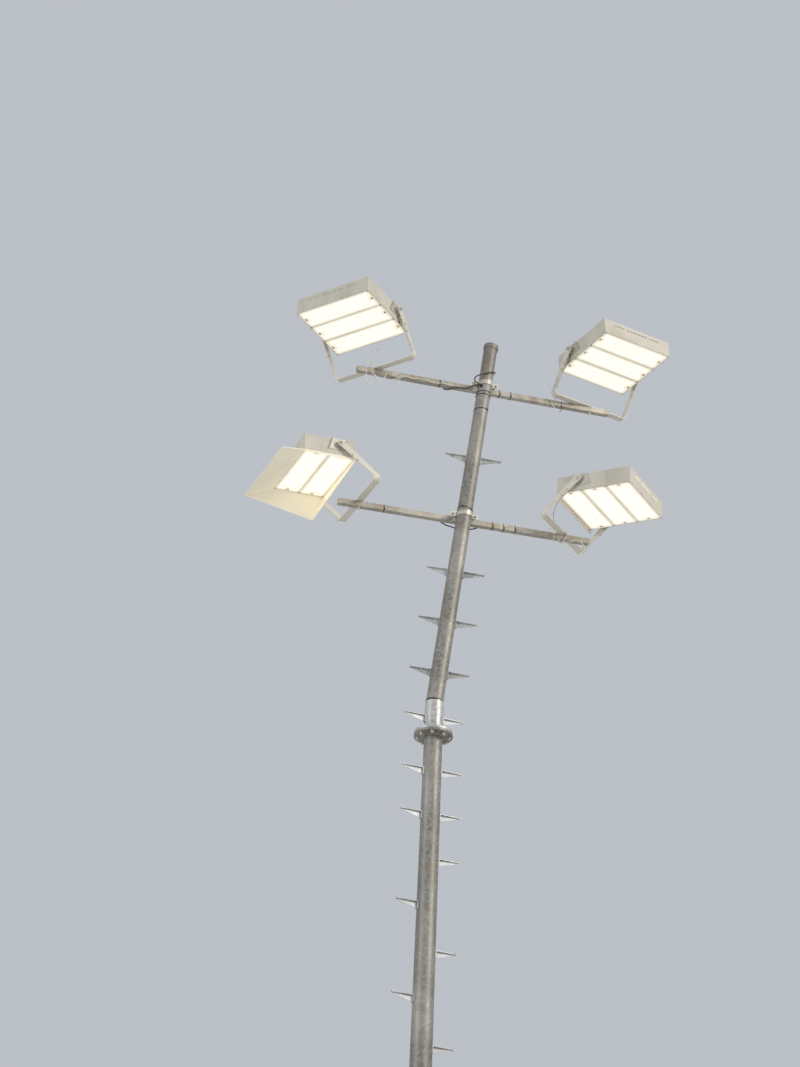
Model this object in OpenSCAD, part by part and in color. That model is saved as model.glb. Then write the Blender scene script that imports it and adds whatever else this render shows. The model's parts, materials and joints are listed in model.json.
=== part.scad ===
// Tubular floodlight mast with step irons, two cross arms and four LED floodlights.
// Millimetres, +Z up the lower mast, +X along the arms, origin under the base plate.

/* [Lower mast] */
// Length of the lower mast from base plate to flange
mast_len = 8860; // [4000:20:11000]
// Outside diameter of the lower mast at its foot
mast_foot_d = 198; // [170:2:300]
// Outside diameter of the lower mast at its top
mast_top_d = 124; // [110:2:150]
// Wall of the lower mast
mast_wall = 4; // [3:0.5:8]
// Side of the square base plate
base_w = 420; // [360:5:600]
// Thickness of the base plate
base_t = 25; // [16:1:40]
// Spacing of the anchor holes
anchor_pitch = 320; // [270:5:500]
// Diameter of the anchor holes
anchor_hole_d = 28; // [18:1:40]
// Diameter of the cable hole in the base plate
cable_hole_d = 60; // [40:1:60]
// Distance of the cable hole behind the middle
cable_hole_y = 60; // [45:1:65]
// Height of the gussets at the foot
gusset_h = 150; // [80:5:300]
// Thickness of a gusset
gusset_t = 12; // [6:1:20]
// Height of the service door's lower edge
door_z = 600; // [300:10:1500]
// Height of the service door
door_h = 360; // [200:10:600]
// Width of the service door
door_w = 90; // [60:5:110]

/* [Head section] */
// Diameter of the two flanges
flange_d = 262; // [230:2:340]
// Thickness of each flange
flange_t = 16; // [10:1:25]
// Bolt circle of the flanges
flange_pcd = 212; // [180:2:240]
// Number of flange bolts
flange_bolt_n = 8; // [4:2:12]
// Diameter of the flange bolts
flange_bolt_d = 16; // [12:1:24]
// Height of the socket sleeve
sleeve_h = 220; // [120:5:400]
// Wall of the socket sleeve
sleeve_wall = 4; // [3:0.5:8]
// Outside diameter of the head tube at its foot
head_foot_d = 119; // [100:1:150]
// Outside diameter of the head tube at its top
head_top_d = 99; // [80:1:120]
// Wall of the head tube
head_wall = 3.5; // [3:0.5:6]
// Length of the head tube above its socket
head_len = 2980; // [2700:10:4000]
// Lean of the head tube out of its socket
head_lean = 6.35; // [0:0.05:8]
// Diameter of the cable outlets in the head tube
outlet_d = 24; // [20:1:30]

/* [Arms] */
// Side of the square arm tube
arm_w = 40; // [30:1:60]
// Wall of the arm tube
arm_wall = 3; // [2:0.5:5]
// Length of the upper arm
upper_arm_len = 1944; // [1900:2:2400]
// Length of the lower arm
lower_arm_len = 1876; // [1800:2:2400]
// Shift of the upper arm to the right
upper_arm_shift = 24; // [0:1:60]
// Shift of the lower arm to the right
lower_arm_shift = 34; // [0:1:60]
// Rise of the arms to the right
arm_rise = 2.7; // [0:0.1:5]
// Height of the lower arm above the socket
lower_arm_z = 1505; // [1200:5:1800]
// Height of the upper arm above the socket
upper_arm_z = 2637; // [2200:1:3600]
// Distance from the head tube to the upper left lamp's swivel bolt
upper_left_reach = 812; // [700:1:900]
// Distance from the head tube to the upper right lamp's swivel bolt
upper_right_reach = 849; // [700:1:950]
// Distance from the head tube to the lower left lamp's swivel bolt
lower_left_reach = 753; // [700:1:900]
// Distance from the head tube to the lower right lamp's swivel bolt
lower_right_reach = 784; // [700:1:900]
// Diameter of the swivel bolts
swivel_bolt_d = 12; // [8:1:20]

/* [Arm clamps] */
// Diameter of the clamp studs
stud_d = 12; // [8:1:16]
// Distance of a clamp stud from the head tube's middle
stud_x = 82; // [72:1:110]
// Thickness of the clamp strap
strap_t = 6; // [4:1:10]
// Height of the clamp strap
strap_h = 36; // [20:2:40]
// Thickness of the saddle between tube and arm at its thinnest
saddle_t = 8; // [4:1:20]

/* [Steps] */
// Drop of the first row of lower steps under the flange
lower_step_drop = 236; // [150:1:500]
// Height from one row of lower steps to the next
lower_step_pitch = 315; // [250:5:400]
// Number of rows of lower steps
lower_step_rows = 20; // [4:1:22]
// Height of the socket's steps above the flange
socket_step_z = 148; // [140:1:180]
// Reach of a step iron
step_reach = 145; // [110:5:200]
// Depth of a step iron at its root
step_root = 50; // [30:1:70]
// Width of a step's tread at its root
step_tread_w = 34; // [24:1:50]
// Width of a step's tread at its tip
step_tip_w = 18; // [12:1:24]
// Height of a step's turned-up tip
step_tip_h = 16; // [8:1:30]
// Sheet thickness of a step
step_t = 4; // [3:0.5:6]
// Turn of the lower steps from the arms
lower_step_turn = 2; // [-30:1:30]
// Turn of the head's steps from the arms
head_step_turn = -14.7; // [-30:0.1:30]

/* [Yokes] */
// Width of the yoke's flat bar
yoke_w = 50; // [36:1:70]
// Thickness of the yoke's flat bar
yoke_t = 6; // [4:0.5:10]
// Outer bend radius of the yoke
yoke_r = 30; // [15:1:40]
// Length of the yoke's legs
yoke_leg = 357; // [290:1:500]
// Lean of the upper yokes' legs from upright
upper_leg_lean = 34.3; // [0:0.1:60]
// Lean of the lower yokes' legs from upright
lower_leg_lean = 47.7; // [0:0.1:60]
// Clearance between lamp and yoke leg
yoke_gap = 28; // [24:1:40]
// Diameter of the tilt bolts
tilt_bolt_d = 12; // [10:1:20]
// Height of the protractor plates
plate_h = 88; // [60:1:100]
// Depth of the folded lips on a protractor plate
plate_lip = 12; // [6:1:16]

/* [Lamps] */
// Length of one LED module
module_len = 580; // [400:1:700]
// Pitch of the LED modules
module_pitch = 184; // [140:1:220]
// Gap between neighbouring modules
module_gap = 4; // [2:1:10]
// Number of modules in a large lamp
large_lamp_n = 3; // [1:1:4]
// Number of modules in the hooded lamp
small_lamp_n = 2; // [1:1:4]
// Width of the rim round a lit window
rim_w = 12; // [6:1:20]
// Corner radius of a lit window
window_r = 12; // [4:1:30]
// Width of the screw tab at each end of a window
tab_w = 26; // [16:1:40]
// Depth of the screw tab at each end of a window
tab_d = 16; // [8:1:24]
// Thickness of the lens plate
lens_t = 6; // [4:1:10]
// Thickness of a heat sink's base
sink_base = 8; // [5:1:12]
// Thickness of a cooling fin
fin_t = 2.5; // [2:0.5:5]
// Number of cooling fins on a module
fin_n = 24; // [8:1:40]
// Depth of the lamp housing
housing_h = 125; // [90:1:180]
// Sheet thickness of the housing
housing_t = 2; // [1.5:0.5:4]
// Height of the slots in the housing's long walls
slot_h = 8; // [4:1:14]
// Height of the tilt axis above the LED face
axis_h = 85; // [60:1:110]
// Place of the tilt axis across the lamp, as a share from its inner edge
axis_share = 0.305; // [0.2:0.005:0.5]
// Depth of the lip on the lower right lamp
lip_h = 35; // [20:1:60]
// Flare of the lip beyond each end of the lamp
lip_flare = 4; // [0:1:8]

/* [Hood] */
// Depth of the hood on its yoke side
hood_in_h = 146; // [80:1:220]
// Depth of the hood on its outer side
hood_out_h = 60; // [30:5:150]
// Reach of the hood beyond the lamp
hood_reach = 195; // [80:5:260]
// Flare of the hood's cheeks on its outer side
hood_flare = 65; // [0:5:120]
// Flare of the hood's cheeks on its yoke side
hood_in_flare = 16; // [0:1:20]

/* [Cables] */
// Diameter of the supply cables along the arms
cable_d = 9; // [6:0.5:12]
// Diameter of the lamp leads
lead_d = 8; // [6:0.5:10]

/* [Aim] */
// Heading and tilt of the upper left lamp
upper_left_aim = [-138.9, 4.2]; // [-180:0.1:180]
// Heading and tilt of the upper right lamp
upper_right_aim = [-74.6, 3.9]; // [-180:0.1:180]
// Heading and tilt of the lower left lamp
lower_left_aim = [-175, -1.9]; // [-180:0.1:180]
// Heading and tilt of the lower right lamp
lower_right_aim = [-46.2, -4.9]; // [-180:0.1:180]

/* [Hidden] */

round_fn = 64;
bolt_fn = 24;
fit = 0.3;
cut = 1;
// Radius of the spigot, turned down a little so that it slides into the sleeve
spigot_r = head_foot_d / 2 - 0.5;

galvanised = [0.62, 0.63, 0.60];
light_zinc = [0.74, 0.75, 0.73];
lamp_grey = [0.80, 0.78, 0.72];
fin_grey = [0.60, 0.60, 0.60];
bolt_grey = [0.55, 0.54, 0.50];
led_white = [1.0, 0.97, 0.88];
cable_black = [0.05, 0.05, 0.05];
lead_white = [0.85, 0.83, 0.76];

// Heights along the mast
mast_z = base_t;
flange_z = mast_z + mast_len;
socket_z = flange_z + 2 * flange_t;
kink_z = socket_z + sleeve_h;
arm_z = [lower_arm_z, upper_arm_z];
head_step_levels = [247, 647, 1047, 2000];

// Sizes that follow from the driving dimensions
sleeve_d = head_foot_d + 2 * (sleeve_wall + fit);
arm_y = head_r(lower_arm_z) + saddle_t + arm_w / 2;
arm_back = arm_y + arm_w / 2;
module_w = module_pitch - module_gap;
housing_len = module_len + 2 * housing_t + 6;
yoke_in = housing_len + 2 * yoke_gap;
yoke_out = yoke_in + 2 * yoke_t;
gland_d = 18;
gland_x = housing_len / 2 + gland_d / 2 + fit;
gland_r = [66, 105];

// One row for each lamp: place along its arm, arm level, aim and number of modules
upper_left = [-upper_left_reach, 1, upper_left_aim, large_lamp_n];
upper_right = [upper_right_reach, 1, upper_right_aim, large_lamp_n];
lower_left = [-lower_left_reach, 0, lower_left_aim, small_lamp_n];
lower_right = [lower_right_reach, 0, lower_right_aim, large_lamp_n];

// Routes of the supply cables, from an outlet in the head tube to a lamp's swivel bolt
upper_left_cable = [
    [-26, -22, -39], [-50, -42, -39], [-72, -46, -38], [-92, -34, -36], [-104, -12, -34],
    [-112, 14, -32], [-124, 36, -29], [-146, 52, -23], [-176, 55, -22], [-206, 57, -29],
    [-230, 76, -30], [-250, 96, -29], [-268, 109, -24], [-288, 110, -8], [-312, 108.5, 4],
    [-350, 107.5, 8], [-760, 107.5, 8]
];
upper_right_cable = [
    [-26, -22, -29], [-50, -42, -29], [-72, -50, -27], [-92, -52, -16], [-98, -54, 4],
    [-88, -54, 24], [-66, -52, 42], [-44, -50, 54], [-24, -50, 63], [12, -60, 75],
    [49, -49, 92], [74, -20, 108], [77, 16, 118], [62, 48, 120], [66, 70, 108],
    [86, 88, 82], [104, 98, 56], [118, 107, 36], [130, 112, 20], [150, 109, 10],
    [180, 107.5, 8], [800, 107.5, 8]
];
lower_left_cable = [
    [-6, 30, -60], [-6, 62, -60], [-12, 88, -58], [-28, 106, -50], [-54, 114, -38],
    [-90, 115, -32], [-124, 112, -20], [-152, 108.5, -4], [-190, 107.5, 8], [-700, 107.5, 8]
];
lower_right_cable = [
    [6, 30, -60], [6, 62, -60], [12, 88, -58], [28, 106, -50], [54, 114, -38],
    [90, 115, -32], [124, 112, -20], [152, 108.5, -4], [190, 107.5, 8], [730, 107.5, 8]
];

// Routes of the lamp leads in a yoke's frame, from the gland down a leg to the yoke's foot
upper_lead_route = [
    [305, 131, 193], [309, 116, 172], [315, 98, 148], [318, 80, 124], [318, 50, 88],
    [318, 26, 62], [317, 10, 40], [310, 4, 20], [296, 2, 11.5], [270, 0, 10.5], [60, 0, 10.5]
];
loose_lead_route = [
    [305, 169, 154], [308, 146, 132], [311, 124, 113], [311, 107, 98], [305, 90, 83],
    [293, 72, 68], [274, 52, 52], [250, 36, 38], [216, 22, 27], [180, 12, 18],
    [140, 4, 11.5], [110, 0, 10.5], [60, 0, 10.5]
];
upper_left_lead_route = upper_lead_route;
upper_right_lead_route = upper_lead_route;
lower_right_lead_route = loose_lead_route;
upper_left_lead_side = -1;
upper_right_lead_side = 1;
lower_left_lead_side = 1;
lower_right_lead_side = 1;

// Outside radius of the lower mast at height z, and of the head tube at h over the kink
function mast_r(z) = mast_foot_d / 2
    - (mast_foot_d - mast_top_d) / 2 * (z - mast_z) / mast_len;
function head_r(h) = head_foot_d / 2 - (head_foot_d - head_top_d) / 2 * h / head_len;

// A lamp's depth across its modules, and the distance from its inner edge to the tilt axis
function lamp_depth(lamp) = lamp[3] * module_pitch + 2 * housing_t;
function axis_in(lamp) = axis_share * lamp_depth(lamp);

// Place of a lamp's tilt axis over its yoke's foot
function leg_lean(lamp) = lamp[1] == 1 ? upper_leg_lean : lower_leg_lean;
function pivot_out(lamp) = yoke_leg * sin(leg_lean(lamp));
function pivot_up(lamp) = yoke_leg * cos(leg_lean(lamp));

// Moves a child into the frame of the head tube, whose foot is at the kink
module head_frame() {
    translate([0, 0, kink_z]) rotate([0, head_lean, 0]) children();
}

// Moves a child to an arm's frame, where the tube's middle meets the arm's height
module arm_frame(level) {
    translate([arm_z[level] * sin(head_lean), 0, kink_z + arm_z[level] * cos(head_lean)])
        rotate([0, -arm_rise, 0])
            children();
}

// Moves a child to a yoke's foot: local X is the tilt axis, Y points outward
module yoke_frame(lamp) {
    arm_frame(lamp[1])
        translate([lamp[0], arm_y, arm_w / 2 + fit])
            rotate([0, 0, lamp[2][0] - 90])
                children();
}

// Moves a child to a lamp's tilt axis: local -Z is where the LEDs look
module lamp_frame(lamp) {
    yoke_frame(lamp)
        translate([0, pivot_out(lamp), pivot_up(lamp)])
            rotate([lamp[2][1], 0, 0])
                children();
}

module hex(d, h) {
    cylinder(d = d, h = h, $fn = 6);
}

// A round bar along Y, from y1 to y2
module bar_y(d, y1, y2, fn) {
    translate([0, y1, 0]) rotate([-90, 0, 0]) cylinder(d = d, h = y2 - y1, $fn = fn);
}

module base_plate() {
    color(galvanised)
        difference() {
            translate([-base_w / 2, -base_w / 2, 0]) cube([base_w, base_w, base_t]);
            for (x = [-1, 1], y = [-1, 1])
                translate([x * anchor_pitch / 2, y * anchor_pitch / 2, -cut])
                    cylinder(d = anchor_hole_d, h = base_t + 2 * cut, $fn = round_fn);
            translate([0, cable_hole_y, -cut])
                cylinder(d = cable_hole_d, h = base_t + 2 * cut, $fn = round_fn);
        }
}

module base_gussets() {
    edge = 15;
    toe = 20;
    reach = base_w / 2 - edge;
    color(galvanised)
        difference() {
            for (a = [0, 90, 180, 270])
                rotate([90, 0, a])
                    translate([0, 0, -gusset_t / 2])
                        linear_extrude(gusset_t)
                            polygon([
                                [mast_foot_d / 4, base_t], [reach, base_t],
                                [reach, base_t + toe],
                                [mast_foot_d / 2 + edge, base_t + gusset_h],
                                [mast_foot_d / 4, base_t + gusset_h]
                            ]);
            mast_solid(-fit);
        }
}

// The lower mast as a solid, thinner by inset all round
module mast_solid(inset) {
    translate([0, 0, mast_z])
        cylinder(r1 = mast_foot_d / 2 - inset, r2 = mast_top_d / 2 - inset,
            h = mast_len, $fn = round_fn);
}

module door_block(grow) {
    translate([-door_w / 2 - grow, -mast_foot_d, door_z - grow])
        cube([door_w + 2 * grow, mast_foot_d, door_h + 2 * grow]);
}

module lower_mast() {
    color(galvanised)
        difference() {
            mast_solid(0);
            mast_solid(mast_wall);
            door_block(0);
        }
}

// A door leaf that overlaps its opening all round
module service_door() {
    overlap = 12;
    color(light_zinc)
        intersection() {
            difference() {
                mast_solid(-mast_wall);
                mast_solid(-fit);
            }
            door_block(overlap);
        }
}

// Moves a child to each place on the flanges' bolt circle
module at_flange_bolts() {
    for (i = [0 : flange_bolt_n - 1])
        rotate([0, 0, (i + 0.5) * 360 / flange_bolt_n])
            translate([flange_pcd / 2, 0, 0])
                children();
}

module flange_ring(z, bore) {
    translate([0, 0, z])
        difference() {
            cylinder(d = flange_d, h = flange_t, $fn = round_fn);
            translate([0, 0, -cut])
                cylinder(d = bore, h = flange_t + 2 * cut, $fn = round_fn);
            at_flange_bolts()
                translate([0, 0, -cut])
                    cylinder(d = flange_bolt_d + 2, h = flange_t + 2 * cut, $fn = bolt_fn);
        }
}

module lower_flange() {
    color(galvanised) flange_ring(flange_z, mast_top_d - 2 * mast_wall);
}

module upper_flange() {
    color(light_zinc) flange_ring(flange_z + flange_t, sleeve_d - 2 * sleeve_wall);
}

// Bolts with their heads above the flanges, nuts and threads below
module flange_bolts() {
    across = flange_bolt_d * 1.6;
    nut_h = flange_bolt_d * 0.8;
    head_h = flange_bolt_d * 0.65;
    color(bolt_grey)
        translate([0, 0, flange_z])
            at_flange_bolts() {
                translate([0, 0, -nut_h]) hex(across, nut_h);
                translate([0, 0, -nut_h - 6])
                    cylinder(d = flange_bolt_d, h = nut_h + 6 + 2 * flange_t + cut, $fn = bolt_fn);
                translate([0, 0, 2 * flange_t]) hex(across, head_h);
            }
}

module socket_sleeve() {
    color(light_zinc)
        translate([0, 0, socket_z])
            difference() {
                cylinder(d = sleeve_d, h = sleeve_h, $fn = round_fn);
                translate([0, 0, -cut])
                    cylinder(d = sleeve_d - 2 * sleeve_wall, h = sleeve_h + 2 * cut, $fn = round_fn);
            }
}

// The head tube as a solid: a spigot in the sleeve, mitred to the leaning tube at the kink
module head_tube_solid(inset) {
    spigot_h = sleeve_h - 20;
    root = 30;
    space = 2 * head_len;
    translate([0, 0, kink_z - spigot_h])
        cylinder(r = spigot_r - inset, h = spigot_h, $fn = round_fn);
    intersection() {
        head_frame()
            translate([0, 0, -root])
                cylinder(r1 = head_r(-root) - inset, r2 = head_top_d / 2 - inset,
                    h = head_len + root, $fn = round_fn);
        translate([-space / 2, -space / 2, kink_z]) cube([space, space, space]);
    }
}

// A hollow tube with a cable outlet on its left front and one behind the lower arm
module head_tube() {
    front_turn = 50;
    front_drop = 34;
    back_drop = 60;
    color(galvanised)
        difference() {
            head_tube_solid(0);
            head_tube_solid(head_wall);
            translate([0, 0, kink_z - sleeve_h])
                cylinder(r = spigot_r - head_wall, h = 40, $fn = round_fn);
            head_frame()
                translate([0, 0, head_len - cut])
                    cylinder(r = head_top_d / 2 - head_wall, h = 10, $fn = round_fn);
            arm_frame(1)
                translate([0, 0, -front_drop])
                    rotate([0, 0, -front_turn])
                        bar_y(outlet_d, -head_foot_d, 0, bolt_fn);
            arm_frame(0)
                translate([0, 0, -back_drop])
                    bar_y(outlet_d, 0, head_foot_d, bolt_fn);
        }
}

// A lid with a skirt that slips over the tube's top
module head_cap() {
    cap_h = 30;
    lid_t = 5;
    skirt_t = 2.5;
    cap_d = head_top_d + 8;
    color(galvanised)
        head_frame() {
            translate([0, 0, head_len]) cylinder(d = cap_d, h = lid_t, $fn = round_fn);
            translate([0, 0, head_len - cap_h])
                difference() {
                    cylinder(d = cap_d, h = cap_h, $fn = round_fn);
                    translate([0, 0, -cut])
                        cylinder(d = cap_d - 2 * skirt_t, h = cap_h + cut, $fn = round_fn);
                }
        }
}

// A square tube with closed ends, and holes for its clamp studs and swivel bolts
module arm(level, len, shift, swivels) {
    arm_frame(level)
        translate([0, arm_y, 0])
            difference() {
                translate([shift, 0, 0]) cube([len, arm_w, arm_w], center = true);
                translate([shift, 0, 0])
                    cube([len - 2 * arm_wall, arm_w - 2 * arm_wall, arm_w - 2 * arm_wall],
                        center = true);
                for (s = [-1, 1])
                    translate([s * stud_x, 0, 0]) bar_y(stud_d + 1, -arm_w, arm_w, bolt_fn);
                for (x = swivels)
                    translate([x, 0, 0])
                        cylinder(d = swivel_bolt_d + 1, h = arm_w + 2 * cut, center = true,
                            $fn = bolt_fn);
            }
}

module upper_arm() {
    color(galvanised) arm(1, upper_arm_len, upper_arm_shift, [upper_left[0], upper_right[0]]);
}

module lower_arm() {
    color(galvanised) arm(0, lower_arm_len, lower_arm_shift, [lower_left[0], lower_right[0]]);
}

// The head tube near an arm, grown by the fit, in the arm's own frame
module tube_at(level, grow) {
    near = 80;
    rotate([0, head_lean + arm_rise, 0])
        translate([0, 0, -near])
            cylinder(r1 = head_r(arm_z[level] - near) + grow, r2 = head_r(arm_z[level] + near) + grow,
                h = 2 * near, $fn = round_fn);
}

// A strap with ears in front of the tube, a saddle behind it, and two long studs
module arm_clamp(level) {
    ear_x = stud_x + 20;
    ear_y = -2;
    nut_h = stud_d * 0.8;
    nut_w = stud_d * 1.75;
    washer_t = 2.5;
    front = ear_y - strap_t;
    saddle_w = 2 * stud_x - stud_d - 4;
    saddle_y = 10;
    arm_frame(level) {
        difference() {
            union() {
                intersection() {
                    tube_at(level, fit + strap_t);
                    translate([-stud_x, -stud_x - strap_t, -strap_h / 2])
                        cube([2 * stud_x, stud_x + strap_t + ear_y, strap_h]);
                }
                translate([-ear_x, front, -strap_h / 2]) cube([2 * ear_x, strap_t, strap_h]);
            }
            tube_at(level, fit);
            for (s = [-1, 1])
                translate([s * stud_x, 0, 0]) bar_y(stud_d + 1, front - cut, ear_y + cut, bolt_fn);
        }
        difference() {
            translate([-saddle_w / 2, saddle_y, -arm_w / 2])
                cube([saddle_w, arm_y - arm_w / 2 - saddle_y, arm_w]);
            tube_at(level, fit);
        }
        for (s = [-1, 1])
            translate([s * stud_x, 0, 0]) {
                bar_y(stud_d, front - nut_h - 8, arm_back + washer_t + nut_h + 12, bolt_fn);
                bar_y(nut_w, front - nut_h, front, 6);
                bar_y(2 * stud_d, arm_back, arm_back + washer_t, bolt_fn);
                bar_y(nut_w, arm_back + washer_t, arm_back + washer_t + nut_h, 6);
            }
    }
}

module upper_arm_clamp() {
    color(bolt_grey) arm_clamp(1);
}

module lower_arm_clamp() {
    color(bolt_grey) arm_clamp(0);
}

// Bolts that hold the yokes down on the arms, each with washers and a nut
module swivel_bolts() {
    grip = arm_w + yoke_t + 2 * fit;
    washer_t = 2.5;
    head_h = swivel_bolt_d * 0.8;
    across = swivel_bolt_d * 1.75;
    color(bolt_grey)
        for (lamp = [upper_left, upper_right, lower_left, lower_right])
            arm_frame(lamp[1])
                translate([lamp[0], arm_y, -arm_w / 2]) {
                    translate([0, 0, -washer_t - head_h - 4])
                        cylinder(d = swivel_bolt_d, h = grip + washer_t + head_h + 8, $fn = bolt_fn);
                    translate([0, 0, -washer_t])
                        cylinder(d = 2.3 * swivel_bolt_d, h = washer_t, $fn = bolt_fn);
                    translate([0, 0, -washer_t - head_h]) hex(across, head_h);
                    translate([0, 0, grip])
                        cylinder(d = 2.3 * swivel_bolt_d, h = washer_t, $fn = bolt_fn);
                    translate([0, 0, grip + washer_t]) hex(across, head_h);
                }
}

// A tube swept along a route: each ring stands square to the route at its point
function unit(v) = v / norm(v);
function heading(p, i) = unit(p[min(i + 1, len(p) - 1)] - p[max(i - 1, 0)]);
function side_at(p, i) =
    let (t = heading(p, i), last = i == 0 ? [0.1, 0.2, 1] : side_at(p, i - 1))
        unit(last - t * (last * t));
function ring(p, i, r, n) =
    let (s = side_at(p, i), u = cross(heading(p, i), s))
        [for (k = [0 : n - 1]) p[i] + r * (cos(k * 360 / n) * s + sin(k * 360 / n) * u)];

module cord(route, d) {
    n = 8;
    last = len(route) - 1;
    polyhedron(
        points = [for (i = [0 : last]) each ring(route, i, d / 2, n)],
        faces = concat(
            [[for (k = [0 : n - 1]) k]],
            [for (i = [0 : last - 1], k = [0 : n - 1])
                [i * n + k, (i + 1) * n + k, (i + 1) * n + (k + 1) % n, i * n + (k + 1) % n]],
            [[for (k = [n - 1 : -1 : 0]) last * n + k]]
        )
    );
}

module upper_cables() {
    color(cable_black)
        arm_frame(1) {
            cord(upper_left_cable, cable_d);
            cord(upper_right_cable, cable_d);
        }
}

module lower_cables() {
    color(cable_black)
        arm_frame(0) {
            cord(lower_left_cable, cable_d);
            cord(lower_right_cable, cable_d);
        }
}

// A step iron that starts at radius r: tread, web, foot plate, bolt and turned-up tip
module step_iron(r) {
    foot_t = 6;
    tip_web = 8;
    end = r + step_reach;
    translate([0, 0, -step_t])
        linear_extrude(step_t)
            polygon([
                [r, -step_tread_w / 2], [end, -step_tip_w / 2],
                [end, step_tip_w / 2], [r, step_tread_w / 2]
            ]);
    rotate([90, 0, 0])
        translate([0, 0, -step_t / 2])
            linear_extrude(step_t)
                polygon([[r, -step_root], [end, -tip_web], [end, 0], [r, 0]]);
    translate([end - step_t, -step_tip_w / 2, -step_t]) cube([step_t, step_tip_w, step_tip_h]);
    translate([r - foot_t, -step_tread_w / 2, -step_root])
        cube([foot_t + step_t, step_tread_w, step_root]);
    translate([r, 0, -step_root * 0.74]) rotate([0, 90, 0]) hex(15, 11);
}

// Steps stand off the mast by the fit, and their feet are cut to its curve
module lower_step(z, turn) {
    difference() {
        rotate([0, 0, turn]) translate([0, 0, z]) step_iron(mast_r(z));
        mast_solid(-fit);
    }
}

module socket_step(turn) {
    difference() {
        rotate([0, 0, turn]) translate([0, 0, flange_z + socket_step_z]) step_iron(sleeve_d / 2);
        translate([0, 0, socket_z]) cylinder(r = sleeve_d / 2 + fit, h = sleeve_h, $fn = round_fn);
    }
}

module head_step(h, turn) {
    head_frame()
        difference() {
            rotate([0, 0, turn]) translate([0, 0, h]) step_iron(head_r(h));
            cylinder(r1 = head_foot_d / 2 + fit, r2 = head_top_d / 2 + fit, h = head_len,
                $fn = round_fn);
        }
}

// The two highest rows of lower steps are pairs, and the rows below them alternate
module lower_steps(first, turn) {
    rows = concat([1 - first], [for (i = [first : 2 : lower_step_rows - 1]) i]);
    for (i = rows)
        lower_step(flange_z - lower_step_drop - i * lower_step_pitch, turn);
}

module lower_steps_right() {
    color(light_zinc) lower_steps(0, lower_step_turn);
}

module lower_steps_left() {
    color(light_zinc) lower_steps(1, 180 + lower_step_turn);
}

module head_steps_right() {
    color(light_zinc) {
        socket_step(lower_step_turn);
        for (h = head_step_levels) head_step(h, head_step_turn);
    }
}

module head_steps_left() {
    color(light_zinc) {
        socket_step(180 + lower_step_turn);
        for (h = head_step_levels) head_step(h, 180 + head_step_turn);
    }
}

// Cross-section of the yoke's foot: a flat with a quarter bend and a short stub at each end
module yoke_profile(stub) {
    flat = yoke_out / 2 - yoke_r;
    translate([-flat, 0]) square([2 * flat, yoke_t]);
    for (s = [0, 1])
        mirror([s, 0]) {
            intersection() {
                translate([flat, yoke_r])
                    difference() {
                        circle(r = yoke_r, $fn = round_fn);
                        circle(r = yoke_r - yoke_t, $fn = round_fn);
                    }
                translate([flat, 0]) square([yoke_r, yoke_r]);
            }
            translate([yoke_out / 2 - yoke_t, yoke_r]) square([yoke_t, stub]);
        }
}

module yoke_leg_outline(lamp, stub) {
    lean = leg_lean(lamp);
    top = [pivot_out(lamp), pivot_up(lamp)];
    across = yoke_w / 2 * [cos(lean), -sin(lean)];
    foot = yoke_r + stub / 2;
    polygon([[-yoke_w / 2, foot], [yoke_w / 2, foot], top + across, top - across]);
    translate(top) circle(d = yoke_w, $fn = round_fn);
}

// Flat bar bent to a U, with legs that lean outward and round ends at the tilt axis
module yoke(lamp) {
    stub = 20;
    difference() {
        rotate([90, 0, 0])
            translate([0, 0, -yoke_w / 2])
                linear_extrude(yoke_w) yoke_profile(stub);
        translate([0, 0, -cut])
            cylinder(d = swivel_bolt_d + 1, h = yoke_t + 2 * cut, $fn = bolt_fn);
    }
    for (x = [-yoke_out / 2, yoke_in / 2])
        translate([x, 0, 0])
            rotate([90, 0, 90])
                linear_extrude(yoke_t)
                    difference() {
                        yoke_leg_outline(lamp, stub);
                        translate([pivot_out(lamp), pivot_up(lamp)])
                            circle(d = tilt_bolt_d, $fn = bolt_fn);
                    }
}

// A lamp lead that starts at its gland's mouth and follows the route on one side
module lead(side, route) {
    cord([for (p = route) [side * p[0], p[1], p[2]]], lead_d);
}

// Sheet-metal box open at the face and at the back, with slots in its long walls
module housing(lamp) {
    depth = lamp_depth(lamp);
    y0 = -axis_in(lamp);
    slot_z = housing_h - axis_h - 30 - slot_h;
    slots = [[-0.27, 92], [0, 188], [0.27, 92]];
    difference() {
        translate([-housing_len / 2, y0, -axis_h]) cube([housing_len, depth, housing_h]);
        translate([-housing_len / 2 + housing_t, y0 + housing_t, -axis_h - cut])
            cube([housing_len - 2 * housing_t, depth - 2 * housing_t, housing_h + 2 * cut]);
        for (slot = slots)
            translate([slot[0] * housing_len - slot[1] / 2, y0 - cut, slot_z])
                cube([slot[1], depth + 2 * cut, slot_h]);
        rotate([0, 90, 0])
            cylinder(d = tilt_bolt_d, h = housing_len + 2 * cut, center = true, $fn = bolt_fn);
    }
}

// A flared lip that hangs from the inner edge of the lamp's face
module spill_lip(lamp) {
    half = housing_len / 2;
    translate([0, -axis_in(lamp) + housing_t, -axis_h])
        rotate([90, 0, 0])
            linear_extrude(housing_t)
                polygon([
                    [-half, 0], [-half - lip_flare, -lip_h], [half + lip_flare, -lip_h], [half, 0]
                ]);
}

// Moves a child to the middle of each module, at the height of the LED face
module at_modules(lamp) {
    for (i = [0 : lamp[3] - 1])
        translate([0, -axis_in(lamp) + housing_t + (i + 0.5) * module_pitch, -axis_h]) children();
}

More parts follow.
